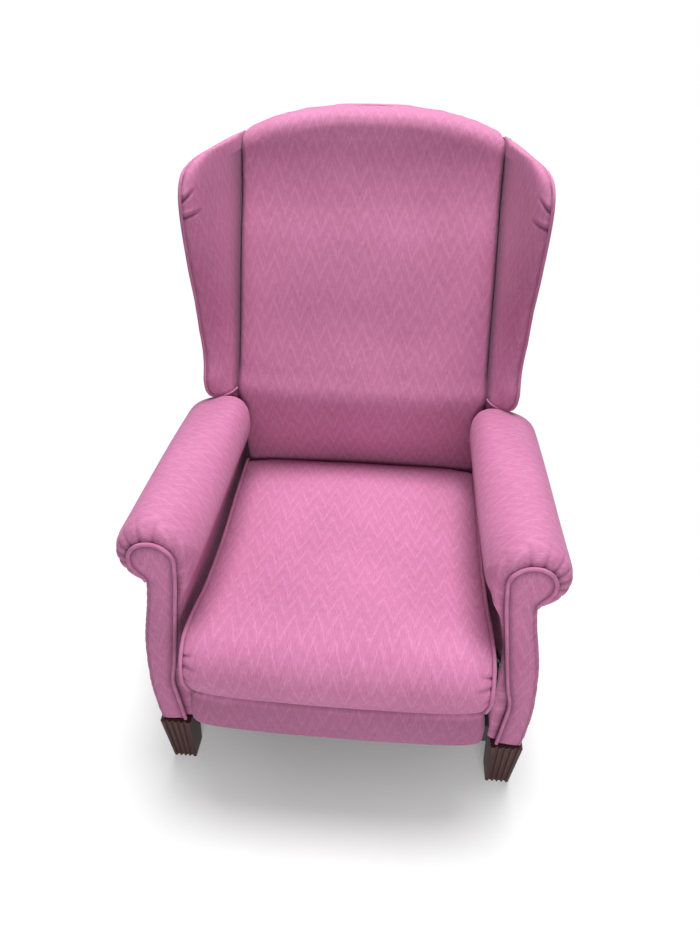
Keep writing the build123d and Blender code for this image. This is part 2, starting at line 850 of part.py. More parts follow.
def cushion_height(share):
    """The height above the floor of a share of the back cushion's height."""
    return back_cushion_bottom_z + share * (back_crown_z - back_cushion_bottom_z)


def back_section(z, edge_y, crown):
    """A level section of the back cushion: flat on the frame, crowned in front."""
    with BuildSketch(Plane.XY.offset(z)) as section:
        with BuildLine():
            ThreePointArc((-back_half_width, edge_y), (0, edge_y - crown), (back_half_width, edge_y))
            Polyline(
                (back_half_width, edge_y),
                (back_half_width, frame_face_y(z)),
                (-back_half_width, frame_face_y(z)),
                (-back_half_width, edge_y),
            )
        make_face()
    return section.sketch


with BuildPart() as back_cushion:
    loft(
        [
            back_section(cushion_height(share), front_y + setback, crown)
            for share, setback, crown in back_rows
        ]
        + [back_section(back_crown_z + nose_crown, front_y + back_top_setback, back_top_crown)]
    )
    with BuildSketch(on_front(front_y)):
        with BuildLine():
            ThreePointArc(
                (-back_half_width, back_shoulder_z + nose_crown),
                (0, back_crown_z + nose_crown / 2),
                (back_half_width, back_shoulder_z + nose_crown),
            )
            Polyline(
                (back_half_width, back_shoulder_z + nose_crown),
                (back_half_width, back_cushion_bottom_z),
                (-back_half_width, back_cushion_bottom_z),
                (-back_half_width, back_shoulder_z + nose_crown),
            )
        make_face()
    extrude(amount=-overall_depth, mode=Mode.INTERSECT)

with BuildPart() as back_bracket:
    bracket_top_z = back_cushion_bottom_z + 2 * back_member
    bracket_top = (frame_face_y(bracket_top_z) + boss_radius + back_skin, bracket_top_z)
    bracket_low = (frame_face_y(back_cushion_bottom_z + spacer) + boss_radius + back_skin,
                   back_cushion_bottom_z + spacer)
    with BuildSketch(on_side(link_x)):
        bosses(back_pin, recline_pivot)
        with BuildSketch(mode=Mode.PRIVATE) as upper_bar:
            bosses(recline_pivot, bracket_top)
        add(upper_bar.sketch)
        holes(pin_radius, back_pin)
        holes(pin_radius + play, recline_pivot)
    extrude(amount=plate)
    # Spacers carry the plate off the frame's side.
    with BuildSketch(on_side(back_half_width)):
        with Locations(bracket_low, bracket_top):
            Circle(boss_radius - screw_radius)
    extrude(amount=link_x - back_half_width)

# ================================================================ wings
# The wing's outer face is a plane that flares outwards towards the front and the top.
wing_span = wing_rear_y - wing_front_y
wing_yaw = (wing_front_x + wing_flare - wing_rear_x) / wing_span
wing_pitch = wing_flare / (wing_top_z - wing_bottom_z)
wing_plane = Plane(
    origin=(wing_front_x, wing_front_y, wing_bottom_z),
    x_dir=(-wing_yaw, 1, 0),
    z_dir=(1, wing_yaw, -wing_pitch),
)


def wing_curves():
    """Side view of the wing, measured back and up from its lower front corner."""
    height = wing_top_z - wing_bottom_z
    foot = Line((wing_span, 0), (wing_foot_round, 0))
    knee = TangentArc(foot @ 1, (0, wing_foot_round), tangent=(-1, 0))
    ThreePointArc(knee @ 1, wing_hollow, wing_hollow_end)
    brow_line = ThreePointArc(wing_hollow_end, wing_brow, wing_brow_end)
    TangentArc(wing_brow_end, wing_crown_end, tangent=brow_line % 1)
    top = Line(wing_crown_end, (wing_span, height))
    Line(top @ 1, foot @ 0)


# Everything behind the front of the back's outer skin.
with BuildPart() as behind_back:
    with BuildSketch(back_plane.offset(back_skin)):
        Rectangle(2 * overall_depth, 4 * overall_depth)
    extrude(amount=-overall_depth)

# Everything outside the back's side, where the wings stand.
with BuildPart() as beside_back:
    with Locations((back_half_width + touch_gap, 0, 0)):
        Box(roll_x, 2 * overall_depth, 4 * overall_depth,
            align=(Align.MIN, Align.CENTER, Align.CENTER))

with BuildPart() as wing_outer:
    with BuildSketch(wing_plane):
        with BuildLine():
            wing_curves()
        make_face()
    extrude(amount=-wing_skin)
    add(beside_back.part, mode=Mode.INTERSECT)
    add(behind_back.part, mode=Mode.SUBTRACT)

with BuildPart() as wing_frame:
    with BuildSketch(wing_plane.offset(-wing_skin)):
        with BuildLine():
            wing_curves()
        make_face()
        offset(amount=-wing_board_inset)
        with Locations((wing_span, 0)):
            Rectangle(2 * wing_board_inset, wing_board_inset, align=(Align.MAX, Align.MIN),
                      mode=Mode.SUBTRACT)
    extrude(amount=-wing_board)
    add(beside_back.part, mode=Mode.INTERSECT)
    add(behind_back.part, mode=Mode.SUBTRACT)

with BuildPart() as wing_pad:
    with BuildSketch(wing_plane.offset(-wing_skin)):
        with BuildLine():
            wing_curves()
        make_face()
    extrude(amount=-2 * roll_radius)
    add(beside_back.part, mode=Mode.INTERSECT)
    add(wing_frame.part, mode=Mode.SUBTRACT)
    add(behind_back.part, mode=Mode.SUBTRACT)

# ================================================================ files
save_pair(arm_pad.part, "arm_pad")
save_pair(arm_front.part, "arm_front")
save_pair(arm_welt.part, "arm_welt")
save_pair(arm_frame.part, "arm_frame")
save_pair(side_rail.part, "side_rail")
save_pair(front_leg, "front_leg")
save_pair(rear_leg, "rear_leg")
save(floor_glides.part, "floor_glides")
save(leg_bolts.part, "leg_bolts")
save(front_cross_rail.part, "front_cross_rail")
save(rear_cross_rail.part, "rear_cross_rail")
save(rear_rail_panel.part, "rear_rail_panel")
save_pair(base_plate.part, "base_plate")
save(base_rivets, "base_rivets")
save_pair(front_link, "front_link")
save_pair(rear_link, "rear_link")
save(torque_tube(front_pivot), "front_torque_tube")
save(torque_tube(rear_pivot), "rear_torque_tube")
save(front_link_rivets, "front_link_rivets")
save(rear_link_rivets, "rear_link_rivets")
save_pair(footrest_strut, "footrest_strut")
save_pair(back_strut, "back_strut")
save(seat_frame.part, "seat_frame")
save_pair(seat_plate.part, "seat_plate")
save(seat_rivets, "seat_rivets")
save(seat_springs.part, "seat_springs")
save(seat_cushion.part, "seat_cushion")
save(seat_nose.part, "seat_nose")
save(hinge_seat_leaf.part, "hinge_seat_leaf")
save(hinge_board_leaf.part, "hinge_board_leaf")
save(footrest_board.part, "footrest_board")
save(footrest_pad.part, "footrest_pad")
save_pair(footrest_bracket.part, "footrest_bracket")
save(footrest_rivets, "footrest_rivets")
save(back_frame.part, "back_frame")
save(outside_back.part, "outside_back")
save(back_cushion.part, "back_cushion")
save_pair(back_bracket.part, "back_bracket")
save(back_rivets, "back_rivets")
save_pair(wing_outer.part, "wing_outer")
save_pair(wing_frame.part, "wing_frame")
save_pair(wing_pad.part, "wing_pad")
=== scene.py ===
import bpy
import bmesh
import json
import math
import numpy as np
from mathutils import Matrix, Vector


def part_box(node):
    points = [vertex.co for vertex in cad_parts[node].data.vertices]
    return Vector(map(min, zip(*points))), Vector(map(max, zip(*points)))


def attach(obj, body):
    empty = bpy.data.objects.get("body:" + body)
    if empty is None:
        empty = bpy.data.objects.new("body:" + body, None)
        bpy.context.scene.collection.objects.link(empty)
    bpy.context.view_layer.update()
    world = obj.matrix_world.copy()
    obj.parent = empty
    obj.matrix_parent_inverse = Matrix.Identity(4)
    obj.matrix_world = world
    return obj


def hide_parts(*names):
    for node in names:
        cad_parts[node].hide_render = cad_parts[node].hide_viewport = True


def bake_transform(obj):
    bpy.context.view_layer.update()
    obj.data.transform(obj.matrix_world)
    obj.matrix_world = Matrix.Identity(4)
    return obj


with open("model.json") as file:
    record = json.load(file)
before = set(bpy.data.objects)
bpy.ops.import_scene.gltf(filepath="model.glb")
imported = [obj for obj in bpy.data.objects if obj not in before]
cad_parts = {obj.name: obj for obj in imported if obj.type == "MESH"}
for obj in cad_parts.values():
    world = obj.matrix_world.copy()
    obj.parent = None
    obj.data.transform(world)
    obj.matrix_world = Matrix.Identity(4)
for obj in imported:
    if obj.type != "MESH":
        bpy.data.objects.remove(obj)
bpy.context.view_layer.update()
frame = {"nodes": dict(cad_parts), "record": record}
scene = bpy.context.scene
FRONT = -0.425                      # front edge of the seat, metres
SEAT_HALF = 0.262                   # half the width between the arms
CHUNK = 3000                        # points measured at a time, to spare memory


# ------------------------------------------------------------------ curves
def smooth_path(points, count):
    """Catmull-Rom curve through the points, evenly spaced."""
    p = np.array(points, float)
    ends = np.vstack([2 * p[0] - p[1], p, 2 * p[-1] - p[-2]])
    out = []
    for k in range(len(p) - 1):
        a, b, c, d = ends[k:k + 4]
        for s in np.linspace(0, 1, 24, endpoint=False):
            out.append(0.5 * (2 * b + (c - a) * s + (2 * a - 5 * b + 4 * c - d) * s ** 2
                              + (3 * b - 3 * c + d - a) * s ** 3))
    return even(np.array(out + [p[-1]]), count)


def even(p, count):
    """The same line with evenly spaced points."""
    step = np.r_[0, np.cumsum(np.linalg.norm(np.diff(p, axis=0), axis=1))]
    want = np.linspace(0, step[-1], count)
    return np.stack([np.interp(want, step, p[:, i]) for i in range(p.shape[1])], axis=1)


def ease(t):
    """0 to 1 with soft ends."""
    t = np.clip(t, 0, 1)
    return t * t * (3 - 2 * t)


def mirror_x(p, side):
    q = np.array(p, float)
    q[..., 0] *= side
    return q


# ------------------------------------------------------------------ meshes
def new_object(name, verts, faces):
    """A smooth-shaded object with its normals outward."""
    mesh = bpy.data.meshes.new(name)
    mesh.from_pydata([tuple(v) for v in verts], [], faces)
    bm = bmesh.new()
    bm.from_mesh(mesh)
    bmesh.ops.remove_doubles(bm, verts=bm.verts, dist=1e-6)
    bmesh.ops.recalc_face_normals(bm, faces=bm.faces)
    bm.to_mesh(mesh)
    bm.free()
    mesh.validate()
    mesh.polygons.foreach_set("use_smooth", [True] * len(mesh.polygons))
    obj = bpy.data.objects.new(name, mesh)
    scene.collection.objects.link(obj)
    return obj


def slab(name, outer, inner):
    """A closed pad between two grids of points of the same size."""
    n, m = outer.shape[:2]
    verts = np.vstack([outer.reshape(-1, 3), inner.reshape(-1, 3)])
    at = lambda i, j, k: k * n * m + i * m + j
    faces = []
    for i in range(n - 1):
        for j in range(m - 1):
            faces.append((at(i, j, 0), at(i + 1, j, 0), at(i + 1, j + 1, 0), at(i, j + 1, 0)))
            faces.append((at(i, j, 1), at(i, j + 1, 1), at(i + 1, j + 1, 1), at(i + 1, j, 1)))
    for i in range(n - 1):
        for j in (0, m - 1):
            faces.append((at(i, j, 0), at(i + 1, j, 0), at(i + 1, j, 1), at(i, j, 1)))
    for j in range(m - 1):
        for i in (0, n - 1):
            faces.append((at(i, j, 0), at(i, j + 1, 0), at(i, j + 1, 1), at(i, j, 1)))
    return new_object(name, verts, faces)


def loops(name, rings):
    """A closed tube through rings of points, with its ends capped."""
    n, m = rings.shape[:2]
    faces = [(i * m + j, i * m + (j + 1) % m, (i + 1) * m + (j + 1) % m, (i + 1) * m + j)
             for i in range(n - 1) for j in range(m)]
    faces += [tuple(range(m)), tuple(range((n - 1) * m, n * m))]
    return new_object(name, rings.reshape(-1, 3), faces)


def coords(obj):
    a = np.empty(len(obj.data.vertices) * 3)
    obj.data.vertices.foreach_get("co", a)
    return a.reshape(-1, 3)


def set_coords(obj, a):
    obj.data.vertices.foreach_set("co", np.ascontiguousarray(a, float).ravel())
    obj.data.update()


def vertex_normals(obj):
    a = np.empty(len(obj.data.vertices) * 3)
    obj.data.vertices.foreach_get("normal", a)
    return a.reshape(-1, 3)


def apply_modifiers(obj):
    graph = bpy.context.evaluated_depsgraph_get()
    mesh = bpy.data.meshes.new_from_object(obj.evaluated_get(graph))
    obj.modifiers.clear()
    old = obj.data
    obj.data = mesh
    bpy.data.meshes.remove(old)
    mesh.polygons.foreach_set("use_smooth", [True] * len(mesh.polygons))


def smooth(obj, rounds, factor=0.5):
    mod = obj.modifiers.new("Smooth", "SMOOTH")
    mod.iterations = rounds
    mod.factor = factor
    apply_modifiers(obj)


def remesh(obj, size, rounds, factor=0.5):
    """Even faces of one size, rounded a little by smoothing."""
    mod = obj.modifiers.new("Remesh", "REMESH")
    mod.mode = "VOXEL"
    mod.voxel_size = size
    apply_modifiers(obj)
    smooth(obj, rounds, factor)


def subdivide(obj):
    mod = obj.modifiers.new("Subdivision", "SUBSURF")
    mod.levels = 1
    mod.render_levels = 1
    apply_modifiers(obj)


def join(name, *objs):
    """One object from several; the remesh that follows makes them one skin."""
    bm = bmesh.new()
    for o in objs:
        bm.from_mesh(o.data)
    mesh = bpy.data.meshes.new(name)
    bm.to_mesh(mesh)
    bm.free()
    for o in objs:
        bpy.data.objects.remove(o)
    obj = bpy.data.objects.new(name, mesh)
    scene.collection.objects.link(obj)
    return obj


def puff(obj, pressure, cap, pin, frames=16, stiff=12):
    """Swells a pad as cloth under pressure, by cap at most; pinned vertices stay on their seams."""
    start = coords(obj)
    group = obj.vertex_groups.new(name="seams")
    group.add([int(i) for i in np.nonzero(pin(start))[0]], 1.0, "REPLACE")
    mod = obj.modifiers.new("Cloth", "CLOTH")
    s = mod.settings
    s.quality = 3
    s.use_pressure = True
    s.uniform_pressure_force = pressure
    s.effector_weights.gravity = 0
    s.tension_stiffness = s.compression_stiffness = s.shear_stiffness = stiff
    s.bending_stiffness = 0.6
    s.vertex_group_mass = "seams"
    mod.point_cache.frame_start = 1
    mod.point_cache.frame_end = frames
    for f in range(1, frames + 1):
        scene.frame_set(f)
    graph = bpy.context.evaluated_depsgraph_get()
    done = obj.evaluated_get(graph).to_mesh()
    a = np.empty(len(done.vertices) * 3)
    done.vertices.foreach_get("co", a)
    obj.evaluated_get(graph).to_mesh_clear()
    obj.modifiers.clear()
    obj.vertex_groups.clear()
    scene.frame_set(1)
    move = a.reshape(-1, 3) - start
    length = np.linalg.norm(move, axis=1, keepdims=True)
    move *= np.minimum(1, cap / np.maximum(length, 1e-9))
    set_coords(obj, start + np.nan_to_num(move))


def distance(points, line):
    """Distance from each point to the nearest point of a line."""
    best = np.empty(len(points))
    for k in range(0, len(points), CHUNK):
        best[k:k + CHUNK] = ((points[k:k + CHUNK, None] - line[None]) ** 2).sum(-1).min(1)
    return np.sqrt(best)


def near_line(points, line, width):
    """How close each point is to the line: 1 on it, fading to 0."""
    return np.exp(-(distance(points, line) / width) ** 2)


def weave(obj, uv, painted_shade=None):
    """Stores the cloth's own coordinates, in metres, and its painted shade for the woven material."""
    a = np.zeros((len(obj.data.vertices), 3))
    c = coords(obj)
    a[:, :2] = uv(c)
    if painted_shade is not None:
        a[:, 2] = painted_shade
    layer = obj.data.attributes.new("weave", "FLOAT_VECTOR", "POINT")
    layer.data.foreach_set("vector", a.ravel())


def along(path, axes):
    """Length along a path drawn in two of the axes, for each point."""
    p = even(np.array(path, float), 400)
    length = np.r_[0, np.cumsum(np.linalg.norm(np.diff(p, axis=0), axis=1))]

    def f(c):
        q = c[:, axes]
        best = np.empty(len(q))
        for k in range(0, len(q), CHUNK):
            d = ((q[k:k + CHUNK, None] - p[None]) ** 2).sum(-1)
            best[k:k + CHUNK] = length[d.argmin(1)]
        return best
    return f


def tube(name, path, radius):
    """Piping that follows a path of points."""
    curve = bpy.data.curves.new(name, "CURVE")
    curve.dimensions = "3D"
    curve.bevel_depth = radius
    curve.bevel_resolution = 4
    curve.use_fill_caps = True
    line = curve.splines.new("POLY")
    line.points.add(len(path) - 1)
    for point, p in zip(line.points, path):
        point.co = (*p, 1)
    temp = bpy.data.objects.new(name, curve)
    scene.collection.objects.link(temp)
    graph = bpy.context.evaluated_depsgraph_get()
    mesh = bpy.data.meshes.new_from_object(temp.evaluated_get(graph))
    bpy.data.objects.remove(temp)
    mesh.polygons.foreach_set("use_smooth", [True] * len(mesh.polygons))
    obj = bpy.data.objects.new(name, mesh)
    scene.collection.objects.link(obj)
    return obj


# ------------------------------------------------------------------ materials
class Graph:
    """Short calls that build a material's nodes."""

    def __init__(self, name):
        self.mat = bpy.data.materials.new(name)
        self.mat.use_nodes = True
        self.tree = self.mat.node_tree
        self.shader = self.tree.nodes["Principled BSDF"]

    def node(self, kind, **values):
        n = self.tree.nodes.new(kind)
        for key, value in values.items():
            setattr(n, key, value)
        return n

    def put(self, socket, value):
        if isinstance(value, (int, float, tuple)):
            socket.default_value = value
        else:
            self.tree.links.new(value, socket)

    def math(self, op, *values, clamp=False):
        n = self.node("ShaderNodeMath", operation=op, use_clamp=clamp)
        for socket, value in zip(n.inputs, values):
            self.put(socket, value)
        return n.outputs[0]

    def noise(self, vector, scale, detail=3.0, rough=0.5):
        n = self.node("ShaderNodeTexNoise")
        self.put(n.inputs["Vector"], vector)
        n.inputs["Scale"].default_value = scale
        n.inputs["Detail"].default_value = detail
        n.inputs["Roughness"].default_value = rough
        return n.outputs["Fac"]

    def scaled(self, vector, factors):
        n = self.node("ShaderNodeVectorMath", operation="MULTIPLY")
        self.put(n.inputs[0], vector)
        n.inputs[1].default_value = factors
        return n.outputs[0]

    def ramp(self, fac, stops):
        n = self.node("ShaderNodeValToRGB")
        self.put(n.inputs[0], fac)
        e = n.color_ramp.elements
        while len(e) < len(stops):
            e.new(0.5)
        for item, (at, colour) in zip(e, stops):
            item.position = at
            item.color = (*colour, 1)
        return n.outputs["Color"]

    def mix(self, fac, a, b):
        n = self.node("ShaderNodeMix", data_type="RGBA")
        self.put(n.inputs[0], fac)
        self.put(n.inputs[6], a if not isinstance(a, tuple) else (*a, 1))
        self.put(n.inputs[7], b if not isinstance(b, tuple) else (*b, 1))
        return n.outputs[2]

    def bump(self, height, strength, distance, normal=None):
        n = self.node("ShaderNodeBump")
        n.inputs["Strength"].default_value = strength
        n.inputs["Distance"].default_value = distance
        self.put(n.inputs["Height"], height)
        if normal is not None:
            self.put(n.inputs["Normal"], normal)
        return n.outputs[0]

    def set(self, **values):
        for key, value in values.items():
            self.put(self.shader.inputs[key.replace("_", " ")], value)


def srgb(r, g, b):
    f = lambda c: c / 12.92 if c <= 0.04045 else ((c + 0.055) / 1.055) ** 2.4
    return tuple(f(v / 255) for v in (r, g, b))


def flame_stitch():
    """Jacquard with rising and falling flames drawn by fine upright strokes."""
    g = Graph("flame_stitch_jacquard")
    at = g.node("ShaderNodeAttribute", attribute_name="weave").outputs["Vector"]
    split = g.node("ShaderNodeSeparateXYZ")
    g.put(split.inputs[0], at)
    u, v, painted_shade = split.outputs[0], split.outputs[1], split.outputs[2]
    stroke = 0.0014
    column = g.math("MULTIPLY", g.math("FLOOR", g.math("DIVIDE", u, stroke)), stroke)
    tooth = g.math("PINGPONG", g.math("ADD", column, 2.0), 0.0185)
    sway = g.math("PINGPONG", g.math("ADD", column, 2.0), 0.047)
    lane = g.node("ShaderNodeCombineXYZ")
    g.put(lane.inputs[0], column)
    g.put(lane.inputs[1], g.math("MULTIPLY", v, 0.10))
    ragged = g.noise(lane.outputs[0], 1100.0, 1.0)
    height = g.math("ADD", v, g.math("MULTIPLY", tooth, 2.6))
    height = g.math("ADD", height, g.math("MULTIPLY", sway, 0.25))
    height = g.math("ADD", height, g.math("MULTIPLY", ragged, 0.028))
    phase = g.math("FRACT", g.math("DIVIDE", height, 0.044))
    fine = g.math("FRACT", g.math("DIVIDE", height, 0.0147))
    broad = g.ramp(phase, [(0.0, (0.25,) * 3), (0.28, (0.20,) * 3), (0.36, (1.0,) * 3),
                           (0.42, (0.80,) * 3), (0.66, (0.35,) * 3), (1.0, (0.25,) * 3)])
    narrow = g.ramp(fine, [(0.0, (0.0,) * 3), (0.5, (1.0,) * 3), (1.0, (0.0,) * 3)])
    fibre = g.noise(g.scaled(at, (1.0, 0.05, 0.0)), 1400.0, 2.0)
    patch = g.noise(g.scaled(at, (1.0, 1.0, 0.0)), 5.0, 4.0)
    level = g.math("ADD", g.math("MULTIPLY", broad, 0.20), g.math("MULTIPLY", narrow, 0.09))
    level = g.math("ADD", level, g.math("MULTIPLY", g.math("SUBTRACT", fibre, 0.5), 0.75))
    level = g.math("ADD", level, g.math("MULTIPLY", g.math("SUBTRACT", patch, 0.5), 0.35))
    level = g.math("ADD", level, 0.27, clamp=True)
    colour = g.ramp(level, [(0.0, srgb(138, 74, 106)), (0.40, srgb(174, 105, 141)),
                            (0.70, srgb(194, 123, 160)), (1.0, srgb(222, 160, 192))])
    # Painted shade: the seams, creases and lower band are darkened towards deep plum.
    colour = g.mix(g.math("MULTIPLY", painted_shade, 0.80, clamp=True), colour, srgb(58, 18, 44))
    warp = g.math("SINE", g.math("MULTIPLY", u, 2 * math.pi / 0.0009))
    weft = g.math("SINE", g.math("MULTIPLY", v, 2 * math.pi / 0.0012))
    relief = g.math("ADD", g.math("MULTIPLY", warp, 0.5), g.math("MULTIPLY", weft, 0.3))
    relief = g.math("ADD", relief, g.math("MULTIPLY", level, 1.6))
    bump = g.bump(relief, 0.30, 0.0006)
    slack = g.noise(g.scaled(at, (1.0, 1.0, 0.0)), 22.0, 3.0)
    bump = g.bump(slack, 0.22, 0.004, bump)
    rough = g.math("SUBTRACT", 0.80, g.math("MULTIPLY", level, 0.22))
    g.set(Base_Color=colour, Normal=bump, Roughness=rough, Sheen_Weight=0.22, Sheen_Roughness=0.5,
          Specular_IOR_Level=0.28)
    g.shader.inputs["Sheen Tint"].default_value = (*srgb(248, 190, 226), 1)
    return g.mat


def painted_gap_shade():
    """Black cambric used as painted shade on frame parts seen in the gaps."""
    g = Graph("black_cambric_as_shade")
    at = g.node("ShaderNodeNewGeometry").outputs["Position"]
    fibre = g.noise(at, 900.0, 4.0)
    g.set(Base_Color=g.ramp(fibre, [(0.3, (0.012, 0.011, 0.013)), (0.7, (0.035, 0.032, 0.036))]),
          Roughness=0.95, Normal=g.bump(fibre, 0.4, 0.0004))
    return g.mat


def stained_wood():
    """Dark mahogany stain with darker grain, lighter where the edges have worn."""
    g = Graph("mahogany_stain")
    at = g.node("ShaderNodeNewGeometry").outputs["Position"]
    grain = g.noise(g.scaled(at, (1.0, 1.0, 0.06)), 260.0, 6.0, 0.6)
    cloud = g.noise(at, 18.0, 3.0)
    base = g.ramp(grain, [(0.30, srgb(27, 14, 14)), (0.55, srgb(52, 28, 28)), (0.75, srgb(74, 44, 41))])
    edge = g.node("ShaderNodeNewGeometry").outputs["Pointiness"]
    worn = g.ramp(edge, [(0.50, (0, 0, 0)), (0.56, (1, 1, 1))])
    base = g.mix(g.math("MULTIPLY", worn, 0.18), base, srgb(106, 66, 56))
    base = g.mix(g.math("MULTIPLY", cloud, 0.35), base, srgb(34, 20, 20))
    g.set(Base_Color=base, Roughness=g.math("ADD", 0.42, g.math("MULTIPLY", grain, 0.2)),
          Normal=g.bump(grain, 0.25, 0.0005), Coat_Weight=0.06, Coat_Roughness=0.35, Specular_IOR_Level=0.25)
    return g.mat


def sawn_timber():
    g = Graph("sawn_timber")
    at = g.node("ShaderNodeNewGeometry").outputs["Position"]
    grain = g.noise(g.scaled(at, (0.12, 1.0, 1.0)), 220.0, 5.0, 0.6)
    g.set(Base_Color=g.ramp(grain, [(0.3, srgb(150, 112, 72)), (0.7, srgb(205, 170, 122))]),
          Roughness=0.75, Normal=g.bump(grain, 0.4, 0.0006))
    return g.mat


def black_paint():
    g = Graph("black_painted_steel")
    at = g.node("ShaderNodeNewGeometry").outputs["Position"]
    peel = g.noise(at, 420.0, 3.0)
    dirt = g.noise(at, 30.0, 4.0)
    g.set(Base_Color=g.ramp(dirt, [(0.35, (0.018, 0.018, 0.02)), (0.75, (0.045, 0.043, 0.042))]),
          Roughness=g.math("ADD", 0.32, g.math("MULTIPLY", dirt, 0.25)), Metallic=0.3,
          Normal=g.bump(peel, 0.15, 0.0003))
    return g.mat


def zinc():
    g = Graph("zinc_plate")
    at = g.node("ShaderNodeNewGeometry").outputs["Position"]
    spangle = g.noise(at, 160.0, 4.0)
    g.set(Base_Color=g.ramp(spangle, [(0.3, (0.10, 0.10, 0.11)), (0.7, (0.20, 0.20, 0.21))]),
          Metallic=1.0, Roughness=g.math("ADD", 0.42, g.math("MULTIPLY", spangle, 0.25)),
          Normal=g.bump(spangle, 0.1, 0.0003))
    return g.mat


def glide_plastic():
    g = Graph("brown_glide_plastic")
    at = g.node("ShaderNodeNewGeometry").outputs["Position"]
    scuff = g.noise(at, 300.0, 4.0)
    g.set(Base_Color=g.ramp(scuff, [(0.3, (0.02, 0.015, 0.012)), (0.7, (0.05, 0.04, 0.03))]),
          Roughness=0.6, Normal=g.bump(scuff, 0.2, 0.0003))
    return g.mat


CLOTH = flame_stitch()
BY_SLOT = {"leg_wood": stained_wood(), "frame_wood": sawn_timber(), "steel": black_paint(),
           "bright_steel": zinc(), "glide_plastic": glide_plastic(), "upholstery": CLOTH}
for item in frame["record"]["subparts"]:
    node = frame["nodes"][item["node"]]
    if node.data.materials:
        for i in range(len(node.data.materials)):
            node.material_slots[i].material = BY_SLOT[item["material_slot"]]


# Painted shade: black cambric covers the timber that can be seen past the upholstery, so it reads as dark
# gaps.
GAP_SHADE = painted_gap_shade()
for name in ("front_cross_rail", "rear_cross_rail", "back_frame", "side_rail_left", "side_rail_right",
             "arm_frame_left", "arm_frame_right"):
    for i in range(len(frame["nodes"][name].material_slots)):
        frame["nodes"][name].material_slots[i].material = GAP_SHADE


def soft(obj, body, uv, nodes=(), painted_shade=None):
    """Finishes an upholstered piece: its weave, its body and the CAD node it stands for."""
    weave(obj, uv, painted_shade)
    obj.data.materials.clear()
    obj.data.materials.append(CLOTH)
    if nodes:
        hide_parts(*nodes)
    if body:
        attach(obj, body)


# ------------------------------------------------------------------ seat pad, nose and footrest
seat_edge = smooth_path([(0.147, 0.412), (0.028, 0.404), (-0.117, 0.388), (-0.242, 0.393),
                         (-0.312, 0.408), (-0.367, 0.413), (-0.395, 0.402), (-0.414, 0.381),
                         (-0.423, 0.352), (-0.416, 0.320), (-0.408, 0.292), (-0.414, 0.264),
                         (-0.414, 0.235), (-0.409, 0.209), (-0.398, 0.197)], 150)
seat_inner = even(np.array([(0.147, 0.3575), (-0.345, 0.3575), (-0.353, 0.362), (-0.362, 0.364),
                            (-0.371, 0.361), (-0.3795, 0.352), (-0.3805, 0.340), (-0.3805, 0.197)]), 150)


TUCK_Z = 0.292                      # height of the sewn tuck above the band


